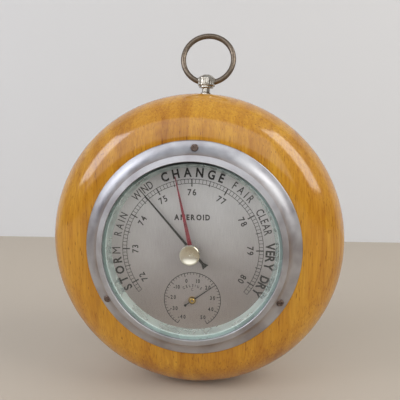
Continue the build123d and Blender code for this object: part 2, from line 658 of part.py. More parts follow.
# ---------------------------------------------------------------- bridge, arbor and hairspring
BRIDGE_SCREW = 1.0
BRIDGE_SCREW_HEAD = 2.0
BRIDGE_HEAD_HEIGHT = 1.2
BRIDGE_GRIP = 4.0         # thread in a pillar
BRIDGE_WIDTH = 8.0
PLATE_ROUND = 3.0         # rounded corners of bridge and cock
PILLAR_RADIUS = 2.2
COCK_PILLAR_X = 10.0
COCK_PILLAR_RADIUS = 1.6
COCK_PILLARS = [(-COCK_PILLAR_X, 0), (COCK_PILLAR_X, 0)]
COCK_SHANK = 0.8
ARBOR_COCK_WIDTH = 7.0
ARBOR_COCK_END = 2.5      # cock beyond its pillars
ARBOR_RADIUS = 0.6
ARBOR_PIVOT = 0.4
with BuildPart() as bridge_pillars:
    extrude(rounds(floor, STUD_RADIUS, PILLARS), amount=BASE_THICK)
    extrude(rounds(base_front, PILLAR_RADIUS, PILLARS), amount=bridge_back - base_front)
    tapped = rounds(bridge_back, BRIDGE_SCREW, PILLARS)
    extrude(tapped, amount=-BRIDGE_GRIP, mode=Mode.SUBTRACT)

with BuildPart() as arbor_bridge:
    extrude(bars(bridge_back, 2 * (PILLARS[1][0] + PLATE_ROUND), BRIDGE_WIDTH), amount=BRIDGE_THICK)
    fillet(arbor_bridge.edges().filter_by(Axis.Y), PLATE_ROUND)
    for radius, spots in ((BRIDGE_SCREW, PILLARS), (ARBOR_PIVOT + RUNNING, [(0, 0)]),
                          (COCK_SHANK, COCK_PILLARS)):
        extrude(rounds(bridge_back, radius, spots), amount=BRIDGE_THICK, mode=Mode.SUBTRACT)

bridge_screws = cheese_head_screws(PILLARS, bridge_front, 1, BRIDGE_SCREW_HEAD, BRIDGE_HEAD_HEIGHT,
                                   BRIDGE_SCREW, BRIDGE_THICK + BRIDGE_GRIP)

with BuildPart() as cock_pillars:
    extrude(rounds(bridge_front, COCK_PILLAR_RADIUS, COCK_PILLARS), amount=COCK_RISE)
    extrude(rounds(bridge_front, COCK_SHANK, COCK_PILLARS), amount=COCK_RISE, mode=Mode.SUBTRACT)

with BuildPart() as arbor_cock:
    cock_length = 2 * (COCK_PILLAR_X + ARBOR_COCK_END)
    extrude(bars(cock_back, cock_length, ARBOR_COCK_WIDTH), amount=COCK_THICK)
    fillet(arbor_cock.edges().filter_by(Axis.Y), PLATE_ROUND)
    for radius, spots in ((ARBOR_RADIUS + RUNNING, [(0, 0)]), (COCK_SHANK, COCK_PILLARS)):
        extrude(rounds(cock_back, radius, spots), amount=COCK_THICK, mode=Mode.SUBTRACT)

COCK_LONG_HEAD = 1.5
COCK_LONG_HEIGHT = 1.0
arbor_cock_screws = cheese_head_screws(COCK_PILLARS, cock_front, 1, COCK_LONG_HEAD,
                                       COCK_LONG_HEIGHT, COCK_SHANK,
                                       COCK_THICK + COCK_RISE + BRIDGE_THICK)

POINTER_CLEAR = 2.2       # dial face to the back of the main pointer
HUB_RISE = 0.8            # back of the pointer to the front of its hub
ARBOR_SHAKE = 0.1         # axial play of the arbor on the bridge
hand_level = case_depth + POINTER_CLEAR
hub_front = hand_level + HUB_RISE
arbor_step = bridge_front + ARBOR_SHAKE
with BuildPart() as pointer_arbor:
    extrude(rounds(bridge_back, ARBOR_PIVOT), amount=arbor_step - bridge_back)
    extrude(rounds(arbor_step, ARBOR_RADIUS), amount=hub_front - arbor_step)

PULLEY_RADIUS = 2.0
PULLEY_THICK = 1.6
GROOVE = 0.9              # width of the groove for the chain
groove_radius = -CHAIN_X - CHAIN_THICK / 2 - RUNNING
with BuildPart() as chain_pulley:
    low_face, high_face = chain_depth - PULLEY_THICK / 2, chain_depth + PULLEY_THICK / 2
    low_wall, high_wall = chain_depth - GROOVE / 2, chain_depth + GROOVE / 2
    revolve(turned((ARBOR_RADIUS, low_face), (PULLEY_RADIUS, low_face), (PULLEY_RADIUS, low_wall),
                   (groove_radius, low_wall), (groove_radius, high_wall),
                   (PULLEY_RADIUS, high_wall), (PULLEY_RADIUS, high_face),
                   (ARBOR_RADIUS, high_face)), axis=Axis.Y)

COLLET_RADIUS = 1.7
COLLET_HEIGHT = 1.2
HAIRSPRING_STRIP = 0.2
HAIRSPRING_HEIGHT = 1.0
HAIRSPRING_PITCH = 1.0
HAIRSPRING_TURNS = 5
HAIRSPRING_RISE = 1.0     # bridge face to the hairspring
STUD_WIDTH = 1.0
STUD_LENGTH = 2.0
hair_level = bridge_front + HAIRSPRING_RISE
hair_start = COLLET_RADIUS + RUNNING + HAIRSPRING_STRIP / 2
hair_end = hair_start + HAIRSPRING_TURNS * HAIRSPRING_PITCH
with BuildPart() as hairspring_collet:
    collet_level = hair_level - (COLLET_HEIGHT - HAIRSPRING_HEIGHT) / 2
    extrude(rounds(collet_level, COLLET_RADIUS), amount=COLLET_HEIGHT)
    extrude(rounds(collet_level, ARBOR_RADIUS), amount=COLLET_HEIGHT, mode=Mode.SUBTRACT)

with BuildPart() as hairspring:
    extrude(spiral(hair_level, HAIRSPRING_STRIP, hair_start, HAIRSPRING_PITCH, HAIRSPRING_TURNS),
            amount=HAIRSPRING_HEIGHT)

with BuildPart() as hairspring_stud:
    stud_x = hair_end + (HAIRSPRING_STRIP + STUD_WIDTH) / 2
    stud = bars(bridge_front, STUD_WIDTH, STUD_LENGTH, [(stud_x, 0)])
    extrude(stud, amount=HAIRSPRING_RISE + HAIRSPRING_HEIGHT)

# ---------------------------------------------------------------- pointers
def hand_face(depth, turn_from_top, centre=(0, 0)):
    """Plane of a hand: local y points along the hand, clockwise from the top of the dial."""
    return level(depth) * Location((centre[0], centre[1], 0), (0, 0, -turn_from_top))


BLADE_ROOT = 1.3          # width of the pointer's blade at the hub
BLADE_TIP = 0.6
TIP_POINT = 0.5           # pointed end of a hand
WEIGHT_WIDTH = 3.6        # fishtail counterweight
WEIGHT_LENGTH = 2.5
HUB_RADIUS = 1.5
POINTER_BOSS = 1.0        # round middle of the pointer outside its hub
HUB_FLANGE = 0.6          # hub under the pointer: how much wider
HUB_FLANGE_THICK = 0.7
with BuildPart() as pointer:
    with BuildSketch(hand_face(hand_level, POINTER_TURN)):
        Circle(HUB_RADIUS + POINTER_BOSS)
        with BuildLine():
            Polyline((-BLADE_ROOT / 2, 0), (-BLADE_TIP / 2, POINTER_REACH - TIP_POINT),
                     (0, POINTER_REACH), (BLADE_TIP / 2, POINTER_REACH - TIP_POINT),
                     (BLADE_ROOT / 2, 0), close=True)
        make_face()
        with BuildLine():
            Polyline((-BLADE_ROOT / 2, 0), (-BLADE_ROOT / 2, WEIGHT_LENGTH - POINTER_TAIL),
                     (-WEIGHT_WIDTH / 2, -POINTER_TAIL), (WEIGHT_WIDTH / 2, -POINTER_TAIL),
                     (BLADE_ROOT / 2, WEIGHT_LENGTH - POINTER_TAIL), (BLADE_ROOT / 2, 0), close=True)
        make_face()
        Circle(HUB_RADIUS, mode=Mode.SUBTRACT)
    extrude(amount=HAND_THICK)

with BuildPart() as pointer_hub:
    hub_back = hand_level - HUB_FLANGE_THICK
    revolve(turned((ARBOR_RADIUS, hub_back), (HUB_RADIUS + HUB_FLANGE, hub_back),
                   (HUB_RADIUS + HUB_FLANGE, hand_level), (HUB_RADIUS, hand_level),
                   (HUB_RADIUS, hub_front), (ARBOR_RADIUS, hub_front)), axis=Axis.Y)

# ---------------------------------------------------------------- set hand and knob
SPRING_WASHER = 0.55      # thickness of the washer behind the glass
SET_PLAY = 0.15           # air between that washer and the set hand
SET_ROOT = 2.2            # width of the set hand at its middle
SET_TIP = 0.4
SET_BOSS = 3.3            # radius of its round middle
washer_back = glass_back - SPRING_WASHER
set_level = washer_back - SET_PLAY - HAND_THICK
with BuildPart() as set_hand:
    with BuildSketch(hand_face(set_level, SET_HAND_TURN)):
        with BuildLine():
            Polyline((-SET_ROOT / 2, 0), (-SET_TIP / 2, SET_HAND_REACH - TIP_POINT),
                     (0, SET_HAND_REACH), (SET_TIP / 2, SET_HAND_REACH - TIP_POINT),
                     (SET_ROOT / 2, 0), close=True)
        make_face()
        Circle(SET_BOSS)
        Circle(STEM_RADIUS, mode=Mode.SUBTRACT)
    extrude(amount=HAND_THICK)

FIBRE_WASHER = 0.5
STEM_COLLAR = 0.8         # riveted collar behind the set hand: how much wider
STEM_COLLAR_THICK = 0.4
knob_washer_front = glass_front + FIBRE_WASHER
knob_back = knob_washer_front + RUNNING
knob_front = knob_back + KNOB_HEIGHT
DISH = 0.9                # depth of the hollow in the knob's face
KNOB_EDGE = 0.7           # flat rim round the hollow
dish_sphere, dish_angle = cap(KNOB_RADIUS - KNOB_EDGE, DISH)
SOCKET_DEPTH = 3.0        # stem in the knob
NECK_LENGTH = 1.8         # straight part of the knob's neck
NECK_FLARE = 3.2          # back of the knob to the foot of its disc
KNOB_CHAMFER = 0.3
with BuildPart() as knob_stem:
    collar = rounds(set_level - STEM_COLLAR_THICK, STEM_RADIUS + STEM_COLLAR)
    extrude(collar, amount=STEM_COLLAR_THICK)
    extrude(rounds(set_level, STEM_RADIUS), amount=knob_back + SOCKET_DEPTH - set_level)

with BuildPart() as set_knob:
    with BuildSketch(Plane.XY):
        with BuildLine():
            inner_edge = KNOB_RADIUS - KNOB_CHAMFER
            disc_back = knob_back + NECK_FLARE
            Polyline((0, DISH - knob_front), (0, -knob_back), (KNOB_NECK, -knob_back),
                     (KNOB_NECK, -knob_back - NECK_LENGTH))
            ThreePointArc((KNOB_NECK, -knob_back - NECK_LENGTH),
                          (0.7 * KNOB_NECK + 0.3 * inner_edge, -0.65 * disc_back
                           - 0.35 * (knob_back + NECK_LENGTH)), (inner_edge, -disc_back))
            Polyline((inner_edge, -disc_back), (KNOB_RADIUS, -disc_back - KNOB_CHAMFER),
                     (KNOB_RADIUS, KNOB_CHAMFER - knob_front), (inner_edge, -knob_front),
                     (KNOB_RADIUS - KNOB_EDGE, -knob_front))
            CenterArc((0, DISH - dish_sphere - knob_front), dish_sphere, dish_angle, 90 - dish_angle)
        make_face()
    revolve(axis=Axis.Y)
    extrude(rounds(knob_back, STEM_RADIUS), amount=SOCKET_DEPTH, mode=Mode.SUBTRACT)

with BuildPart() as knob_washer:
    extrude(rounds(glass_front, KNOB_NECK + FIT), amount=FIBRE_WASHER)
    washer_hole = rounds(glass_front, STEM_RADIUS + RUNNING)
    extrude(washer_hole, amount=FIBRE_WASHER, mode=Mode.SUBTRACT)

with BuildPart() as spring_washer:
    extrude(rounds(washer_back, SET_BOSS), amount=SPRING_WASHER)
    spring_hole = rounds(washer_back, STEM_RADIUS + RUNNING)
    extrude(spring_hole, amount=SPRING_WASHER, mode=Mode.SUBTRACT)

# ---------------------------------------------------------------- thermometer
BRACKET_THICK = 0.8
BRACKET_WIDTH = 5.0
BRACKET_HALF = 10.5
BRACKET_FOOT = 4.0
BRACKET_DEPTH = 7.4       # from the back of the bracket to the back of the dial
ANCHOR_WIDTH = 1.0
ANCHOR_LENGTH = 2.0
COIL_STRIP = 0.35
COIL_PITCH = 1.1
COIL_TURNS = 5
THERMO_ARBOR = 0.5
THERMO_COLLET = 1.3
COIL_RISE = 2.0           # bracket's back to the coil
COIL_HEIGHT = 2.5
bracket_back = dial_back - BRACKET_DEPTH
coil_level = bracket_back + COIL_RISE
coil_start = THERMO_COLLET + RUNNING + COIL_STRIP / 2
coil_end = coil_start + COIL_TURNS * COIL_PITCH
with BuildPart() as thermometer_bracket:
    extrude(bars(bracket_back, 2 * BRACKET_HALF, BRACKET_WIDTH, [THERMOMETER]), amount=BRACKET_THICK)
    leg_x = BRACKET_HALF - BRACKET_THICK / 2
    legs = [(x, thermometer_z) for x in (-leg_x, leg_x)]
    extrude(bars(bracket_back, BRACKET_THICK, BRACKET_WIDTH, legs), amount=BRACKET_DEPTH)
    foot_x = BRACKET_HALF + BRACKET_FOOT / 2 - BRACKET_THICK
    feet = [(x, thermometer_z) for x in (-foot_x, foot_x)]
    foot_plates = bars(dial_back - BRACKET_THICK, BRACKET_FOOT, BRACKET_WIDTH, feet)
    extrude(foot_plates, amount=BRACKET_THICK)
    anchor_x = coil_end + (COIL_STRIP + ANCHOR_WIDTH) / 2
    anchor = bars(bracket_back, ANCHOR_WIDTH, ANCHOR_LENGTH, [(anchor_x, thermometer_z)])
    extrude(anchor, amount=COIL_RISE + COIL_HEIGHT)
    pivot = rounds(bracket_back, THERMO_ARBOR + RUNNING, [THERMOMETER])
    extrude(pivot, amount=BRACKET_THICK, mode=Mode.SUBTRACT)

with BuildPart() as bimetal_coil:
    coil = spiral(coil_level, COIL_STRIP, coil_start, COIL_PITCH, COIL_TURNS, THERMOMETER)
    extrude(coil, amount=COIL_HEIGHT)

THERMO_CLEAR = 0.9        # dial face to the back of the thermometer's pointer
THERMO_HUB = 1.45
THERMO_HUB_HEIGHT = 0.9
THERMO_HUB_BACK = 0.3     # hub behind its pointer
ARBOR_PROUD = 0.5         # arbor in front of the back of its pointer
BUSH_TAIL = 0.8           # bush behind the dial
BUSH_FLANGE = 0.6         # flange in front of the dial: how much wider
BUSH_FLANGE_THICK = 0.5
THERMO_HAND_THICK = 0.2
THERMO_ROOT = 0.6         # width of the thermometer's pointer at its hub
THERMO_TIP = 0.2
THERMO_STALK = 0.45       # width of the stalk that carries the round tail
THERMO_DISC = 0.65        # radius of the tail's disc
THERMO_BOSS = 0.3         # pointer's ring outside the hub
thermo_level = case_depth + THERMO_CLEAR
thermo_hub_back = thermo_level - THERMO_HUB_BACK
with BuildPart() as thermometer_arbor:
    arbor_length = thermo_level + ARBOR_PROUD - bracket_back
    extrude(rounds(bracket_back, THERMO_ARBOR, [THERMOMETER]), amount=arbor_length)
    extrude(rounds(coil_level, THERMO_COLLET, [THERMOMETER]), amount=COIL_HEIGHT)

with BuildPart() as thermometer_bush:
    bush_back = dial_back - BUSH_TAIL
    extrude(rounds(bush_back, BUSH_RADIUS, [THERMOMETER]), amount=BUSH_TAIL + SHEET)
    flange = rounds(case_depth, BUSH_RADIUS + BUSH_FLANGE, [THERMOMETER])
    extrude(flange, amount=BUSH_FLANGE_THICK)
    bush_bore = rounds(bush_back, THERMO_ARBOR + RUNNING, [THERMOMETER])
    extrude(bush_bore, amount=BUSH_TAIL + SHEET + BUSH_FLANGE_THICK, mode=Mode.SUBTRACT)

with BuildPart() as thermometer_hub:
    extrude(rounds(thermo_hub_back, THERMO_HUB, [THERMOMETER]), amount=THERMO_HUB_HEIGHT)
    hub_edges = thermometer_hub.edges().filter_by(GeomType.CIRCLE).sort_by(Axis.Y)
    chamfer(hub_edges[0], THERMO_HUB_HEIGHT / 3)
    hub_bore = rounds(thermo_hub_back, THERMO_ARBOR, [THERMOMETER])
    extrude(hub_bore, amount=THERMO_HUB_HEIGHT, mode=Mode.SUBTRACT)

with BuildPart() as thermometer_pointer:
    with BuildSketch(hand_face(thermo_level, THERMOMETER_TURN, THERMOMETER)):
        with BuildLine():
            Polyline((-THERMO_ROOT / 2, THERMO_HUB), (-THERMO_TIP / 2, THERMOMETER_REACH),
                     (THERMO_TIP / 2, THERMOMETER_REACH), (THERMO_ROOT / 2, THERMO_HUB), close=True)
        make_face()
        with Locations((0, -(THERMO_HUB + THERMOMETER_TAIL) / 2)):
            Rectangle(THERMO_STALK, THERMOMETER_TAIL - THERMO_HUB)
        with Locations((0, -THERMOMETER_TAIL)):
            Circle(THERMO_DISC)
        Circle(THERMO_HUB + THERMO_BOSS)
        Circle(THERMO_HUB, mode=Mode.SUBTRACT)
    extrude(amount=THERMO_HAND_THICK)

# ---------------------------------------------------------------- hanger and ring
MOUTH = 0.1               # extra air round the wire in the bell-mouthed eye
FLUTES = 24
FLUTE_RADIUS = 0.35
DOME = 2.3                # height of the head's rounded top
FOOT_THICK = 0.6          # foot of the post on the wood
COLLAR_STEP = 0.9         # narrow collar under the head: how much smaller
COLLAR_HEIGHT = 0.7
COLLAR_CONE = 0.4         # from the collar out to the head
dome_sphere, dome_angle = cap(HEAD_RADIUS, DOME)
with BuildPart() as hanger_post:
    with BuildSketch(hanger_face):
        with BuildLine():
            Polyline((0, case_radius - POST_LENGTH), (POST_NECK, case_radius - POST_LENGTH),
                     (POST_NECK, foot_seat), (FOOT_RADIUS, foot_seat),
                     (FOOT_RADIUS, foot_seat + FOOT_THICK), (POST_NECK, foot_seat + 2 * FOOT_THICK),
                     (POST_NECK, head_back - COLLAR_CONE), (HEAD_RADIUS - COLLAR_STEP, head_back),
                     (HEAD_RADIUS - COLLAR_STEP, head_back + COLLAR_HEIGHT),
                     (HEAD_RADIUS, head_back + COLLAR_HEIGHT + COLLAR_CONE),
                     (HEAD_RADIUS, head_top - DOME))
            CenterArc((0, head_top - dome_sphere), dome_sphere, dome_angle, 90 - dome_angle)
            Line((0, head_top), (0, case_radius - POST_LENGTH))
        make_face()
    revolve(axis=hanger_axis)
    eye = hanger_point(eye_distance)
    with BuildSketch(Plane(origin=eye, x_dir=side, z_dir=(0, -1, 0))):
        mouth = HEAD_RADIUS + MOUTH
        throat = WIRE_RADIUS + MOUTH
        flare = throat + RING_RADIUS - sqrt(RING_RADIUS**2 - mouth**2)
        with BuildLine():
            Polyline((-mouth, flare), (-mouth, 0), (mouth, 0), (mouth, flare))
            ThreePointArc((mouth, flare), (0, throat), (-mouth, flare))
        make_face()
    revolve(axis=Axis(eye, side), mode=Mode.SUBTRACT)
    flute_foot = head_back + COLLAR_HEIGHT + 2 * COLLAR_CONE
    with BuildSketch(hanger_level(flute_foot)):
        with PolarLocations(HEAD_RADIUS + FLUTE_RADIUS / 3, FLUTES):
            Circle(FLUTE_RADIUS)
    extrude(amount=head_top - DOME - COLLAR_CONE - flute_foot, mode=Mode.SUBTRACT)

with BuildPart() as hanging_ring:
    lean = radians(RING_LEAN)
    stand = up * cos(lean) + Vector(0, 1, 0) * sin(lean)
    ring_centre = eye + stand * RING_RADIUS
    with BuildSketch(Plane(origin=eye, x_dir=stand, z_dir=side)):
        Circle(WIRE_RADIUS)
    revolve(axis=Axis(ring_centre, side.cross(stand)))

# ---------------------------------------------------------------- export
pieces = {
    "wood_case": wood_case,
    "back_cover": back_cover,
    "back_cover_screws": cover_screws,
    "movement_pan": movement_pan,
    "bezel": bezel,
    "bezel_screws": bezel_screws,
    "glass": glass,
    "reflector_ring": reflector_ring,
    "dial": dial,
    "dial_feet": dial_feet,
    "dial_feet_screws": dial_feet_screws,
    "base_plate": base_plate,
    "base_plate_screws": base_plate_screws,
    "capsule_foot": capsule_foot,
    "capsule_lower_diaphragm": capsule_lower_diaphragm,
    "capsule_upper_diaphragm": capsule_upper_diaphragm,
    "capsule_post": capsule_post,
    "capsule_post_pin": post_pin,
    "mainspring": mainspring,
    "mainspring_clamp": spring_clamp,
    "mainspring_clamp_screws": spring_clamp_screws,
    "adjusting_screw": adjusting_screw,
    "main_lever": main_lever,
    "main_lever_screws": lever_screws,
    "link_rod": link_rod,
    "rocking_shaft": rocking_shaft,
    "rocking_shaft_cocks": rocking_shaft_cocks,
    "rocking_shaft_cock_screws": cock_screws,
    "chain": chain,
    "bridge_pillars": bridge_pillars,
    "arbor_bridge": arbor_bridge,
    "arbor_bridge_screws": bridge_screws,
    "arbor_cock_pillars": cock_pillars,
    "arbor_cock": arbor_cock,
    "arbor_cock_screws": arbor_cock_screws,
    "pointer_arbor": pointer_arbor,
    "chain_pulley": chain_pulley,
    "hairspring_collet": hairspring_collet,
    "hairspring": hairspring,
    "hairspring_stud": hairspring_stud,
    "pointer": pointer,
    "pointer_hub": pointer_hub,
    "set_hand": set_hand,
    "set_hand_stem": knob_stem,
    "set_hand_knob": set_knob,
    "knob_washer": knob_washer,
    "spring_washer": spring_washer,
    "thermometer_bracket": thermometer_bracket,
    "bimetal_coil": bimetal_coil,
    "thermometer_arbor": thermometer_arbor,
    "thermometer_bush": thermometer_bush,
    "thermometer_hub": thermometer_hub,
    "thermometer_pointer": thermometer_pointer,
    "hanger_post": hanger_post,
    "hanging_ring": hanging_ring,
}
os.makedirs("parts", exist_ok=True)
for label, piece in pieces.items():
    piece.part.label = label
    export_step(piece.part, f"parts/{label}.step")

print("case radius and depth", round(case_radius, 2), round(case_depth, 2))
print("ring eye", [round(value, 3) for value in eye])
print("rocking shaft depth", round(shaft_depth, 2), "chain depth", round(chain_depth, 2))
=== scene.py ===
# %% [markdown]
# An aneroid barometer in a turned wooden case. Its solid pieces come ready made and in place, in
# metres. The origin is the middle of the case's flat back, on the axis of the dial; the front
# faces -Y and +Z is up. The solids keep their shape. This script gives each its finish, copies
# three springy pieces, prints the dial, and sets the camera and the light.

# %% Load the imported barometer
import json
import math

import bmesh
import bpy
from mathutils import Matrix, Vector


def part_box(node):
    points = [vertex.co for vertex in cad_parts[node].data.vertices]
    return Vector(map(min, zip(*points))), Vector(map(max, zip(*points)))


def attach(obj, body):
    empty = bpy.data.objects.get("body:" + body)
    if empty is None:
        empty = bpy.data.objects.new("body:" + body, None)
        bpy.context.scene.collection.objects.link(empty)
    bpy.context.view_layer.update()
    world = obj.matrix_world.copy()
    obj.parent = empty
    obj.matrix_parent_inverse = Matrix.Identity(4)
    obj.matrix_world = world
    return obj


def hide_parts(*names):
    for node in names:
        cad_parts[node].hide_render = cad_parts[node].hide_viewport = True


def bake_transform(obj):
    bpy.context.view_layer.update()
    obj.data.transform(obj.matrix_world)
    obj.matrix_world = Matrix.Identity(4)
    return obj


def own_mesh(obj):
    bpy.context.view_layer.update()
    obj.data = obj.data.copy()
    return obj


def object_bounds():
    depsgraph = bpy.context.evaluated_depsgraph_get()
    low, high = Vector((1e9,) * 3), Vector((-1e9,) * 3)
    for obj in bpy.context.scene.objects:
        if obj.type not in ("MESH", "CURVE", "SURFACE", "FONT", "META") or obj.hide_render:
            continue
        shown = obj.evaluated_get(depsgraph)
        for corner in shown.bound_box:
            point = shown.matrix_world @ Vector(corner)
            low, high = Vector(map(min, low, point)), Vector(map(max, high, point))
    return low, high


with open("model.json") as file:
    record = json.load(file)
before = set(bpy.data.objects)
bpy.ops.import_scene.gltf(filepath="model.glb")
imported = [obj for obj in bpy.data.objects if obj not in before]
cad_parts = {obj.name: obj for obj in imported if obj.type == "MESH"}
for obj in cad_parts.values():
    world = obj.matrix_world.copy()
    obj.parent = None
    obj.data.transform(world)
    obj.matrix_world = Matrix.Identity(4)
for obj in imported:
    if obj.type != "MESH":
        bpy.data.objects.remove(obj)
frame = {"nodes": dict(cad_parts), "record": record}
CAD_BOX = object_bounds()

print("CAD box", [[round(v, 4) for v in corner] for corner in CAD_BOX])

# %% [markdown]
# A few helpers carry every material. Colours are written the way a paint chart gives them, as
# sRGB hex, and one function turns them into the linear values that the renderer needs. Another
# adds a node, fills in its settings and joins its inputs, so that a material reads as a list of
# steps. The scale of a pattern is one over its real size, which is given in millimetres.

# %% Material helpers
MM = 0.001
# The Mix node lists its sockets once for each kind of value. These are the ones for colours.
MIX_SHARE, MIX_FIRST, MIX_SECOND, MIX_RESULT = 0, 6, 7, 2


def linear(hex_colour):
    """sRGB hex to a linear colour with alpha."""
    parts = [int(hex_colour[i:i + 2], 16) / 255 for i in (1, 3, 5)]
    return [p / 12.92 if p <= 0.04045 else ((p + 0.055) / 1.055) ** 2.4 for p in parts] + [1.0]


def node(material, kind, links=None, values=None, stops=(), **settings):
    """Add a node: settings are its properties, values its input defaults, links its input
    sources, and stops the (position, hex colour) pairs of a colour ramp."""
    tree = material.node_tree
    made = tree.nodes.new(kind)
    for name, value in settings.items():
        setattr(made, name, value)
    for socket, value in (values or {}).items():
        made.inputs[socket].default_value = value
    for socket, source in (links or {}).items():
        tree.links.new(source, made.inputs[socket])
    while stops and len(made.color_ramp.elements) < len(stops):
        made.color_ramp.elements.new(0.5)
    for index, (position, colour) in enumerate(stops):
        made.color_ramp.elements[index].position = position
        made.color_ramp.elements[index].color = linear(colour)
    return made


def new_material(name, **surface):
    """Material with one Principled shader; surface holds the shader's own constants."""
    material = bpy.data.materials.new(name)
    material.use_nodes = True
    shader = material.node_tree.nodes["Principled BSDF"]
    for socket, value in surface.items():
        shader.inputs[socket.replace("_", " ")].default_value = value
    print("material", name)
    return material


def plug(material, **patterns):
    """Join patterns to the inputs of the material's shader."""
    shader = material.node_tree.nodes["Principled BSDF"]
    for socket, source in patterns.items():
        material.node_tree.links.new(source, shader.inputs[socket.replace("_", " ")])


def long_noise(material, size, **values):
    """Noise with cells of a size in millimetres: across, through and along the object."""
    place = node(material, "ShaderNodeTexCoord").outputs["Object"]
    cells = node(material, "ShaderNodeMapping", links={"Vector": place},
                 values={"Scale": [1 / (length * MM) for length in size]})
    return node(material, "ShaderNodeTexNoise", links={"Vector": cells.outputs["Vector"]},
                values={"Scale": 1.0, **values}).outputs["Fac"]


print("a mid grey of #808080 reflects", round(linear("#808080")[0], 3), "of the light")

# %% [markdown]
# The case is beech or a like pale hardwood, turned, stained honey and varnished. The grain runs
# straight up the disc. Four patterns make it, each laid over the last: broad soft bands of
# lighter and darker stain, fine fibre streaks, the curved lines where the annual rings come to
# the surface, and the short dark flecks that give beech away. Three of them are noise squeezed
# across the grain and stretched along it; the rings are a saw-tooth wave, soft on one side and
# sharp on the other as late wood is, and bent so that no two lines run alike. The varnish is the
# shader's coat. It keeps its own sharper gloss over a dull wood, and its own faint ripple where
# it has sunk into the pores, so a lamp shows in it as a bright patch with a soft edge.

# %% Varnished beech
RING_SPACING = 44 * MM
WAVE_RADIANS = 20         # the wave node's own count of radians in one unit


def make_beech():
    """Honey-stained beech under a clear varnish."""
    material = new_material("varnished_beech", Roughness=0.5, Specular_IOR_Level=0.05,
                            Coat_Weight=0.9, Coat_Roughness=0.13, Coat_IOR=1.6)
    bands = long_noise(material, (14, 30, 160), Detail=4.0, Roughness=0.55, Distortion=0.5)
    stain = node(material, "ShaderNodeValToRGB", links={"Fac": bands},
                 stops=[(0.30, "#A86E0E"), (0.48, "#C48A1C"), (0.62, "#D09A2A"), (0.75, "#B87C18")])
    fibres = long_noise(material, (0.9, 0.9, 26), Detail=5.0, Roughness=0.6)
    fibre_tint = node(material, "ShaderNodeValToRGB", links={"Fac": fibres},
                      stops=[(0.35, "#C09450"), (0.6, "#FFFFFF")])
    place = node(material, "ShaderNodeTexCoord").outputs["Object"]
    slant = node(material, "ShaderNodeMapping", links={"Vector": place},
                 values={"Scale": (1.0, 0.6, 0.16), "Rotation": (0.0, 0.1, 0.3)})
    rings = node(material, "ShaderNodeTexWave", wave_type="BANDS", bands_direction="X",
                 wave_profile="SAW", links={"Vector": slant.outputs["Vector"]},
                 values={"Scale": 2 * math.pi / (WAVE_RADIANS * RING_SPACING),
                         "Distortion": 5.0, "Detail": 2.0,
                         "Detail Scale": 12.0, "Detail Roughness": 0.45})
    ring_tint = node(material, "ShaderNodeValToRGB", links={"Fac": rings.outputs["Fac"]},
                     stops=[(0.0, "#FFFFFF"), (0.7, "#F6EAD2"), (0.92, "#C0914C"),
                            (1.0, "#FFFFFF")])
    flecks = long_noise(material, (0.55, 0.55, 4.5), Detail=1.0)
    fleck_tint = node(material, "ShaderNodeValToRGB", links={"Fac": flecks},
                      stops=[(0.65, "#FFFFFF"), (0.74, "#8A5A1E")])
    colour = stain.outputs["Color"]
    for tint, share in ((fibre_tint, 0.42), (ring_tint, 0.3), (fleck_tint, 0.6)):
        colour = node(material, "ShaderNodeMix", data_type="RGBA", blend_type="MULTIPLY",
                      links={MIX_FIRST: colour, MIX_SECOND: tint.outputs["Color"]},
                      values={MIX_SHARE: share}).outputs[MIX_RESULT]
    raised = node(material, "ShaderNodeBump", links={"Height": fibres},
                  values={"Strength": 0.12, "Distance": 0.05 * MM})
    sunk = node(material, "ShaderNodeBump", links={"Height": fibres},
                values={"Strength": 0.1, "Distance": 0.03 * MM})
    plug(material, Base_Color=colour, Normal=raised.outputs["Normal"],
         Coat_Normal=sunk.outputs["Normal"])
    return material


BEECH = make_beech()

# %% [markdown]
# The bezel is an aluminium spinning with a satin polish: the lathe leaves fine rings round the
# axis. Their height is noise read along one line only, the distance from the axis, so it never
# changes on the way round. A real ring is a few hundredths of a millimetre wide; here the rings
# are 0.3 mm and more, as fine as still shows. Slow patches of handling change the tint and the
# gloss a little, because no old metal shines evenly.

# %% Spun metals
HANDLED_PATCH = 12 * MM


def radius_from_axis(material):
    """Distance from the instrument's axis, which runs along Y, in metres."""
    place = node(material, "ShaderNodeTexCoord").outputs["Object"]
    flat = node(material, "ShaderNodeVectorMath", operation="MULTIPLY", links={0: place},
                values={1: (1, 0, 1)})
    return node(material, "ShaderNodeVectorMath", operation="LENGTH",
                links={0: flat.outputs["Vector"]}).outputs["Value"]


def make_spun(name, colour, dark, roughness, ring_width, ring_height):
    """Metal turned on a lathe, with rings of a given width and height in millimetres."""
    material = new_material(name, Metallic=1.0)
    rings = node(material, "ShaderNodeTexNoise", noise_dimensions="1D",
                 links={"W": radius_from_axis(material)},
                 values={"Scale": 1 / (ring_width * MM), "Detail": 2.0})
    place = node(material, "ShaderNodeTexCoord").outputs["Object"]
    patches = node(material, "ShaderNodeTexNoise", links={"Vector": place},
                   values={"Scale": 1 / HANDLED_PATCH, "Detail": 5.0}).outputs["Fac"]
    tint = node(material, "ShaderNodeValToRGB", links={"Fac": patches},
                stops=[(0.35, dark), (0.6, colour)])
    gloss = node(material, "ShaderNodeMapRange", links={"Value": patches},
                 values={"From Min": 0.3, "From Max": 0.7, "To Min": roughness * 0.8,
                         "To Max": roughness * 1.3})
    bump = node(material, "ShaderNodeBump", links={"Height": rings.outputs["Fac"]},
                values={"Strength": 0.35, "Distance": ring_height * MM})
    plug(material, Base_Color=tint.outputs["Color"], Roughness=gloss.outputs["Result"],
         Normal=bump.outputs["Normal"])
    return material


# Satin aluminium draws each lamp out into a broad soft streak that follows the ring round.
BEZEL_METAL = make_spun("satin_spun_aluminium", "#BDBDC1", "#A09DA2", 0.42, 0.3, 0.012)
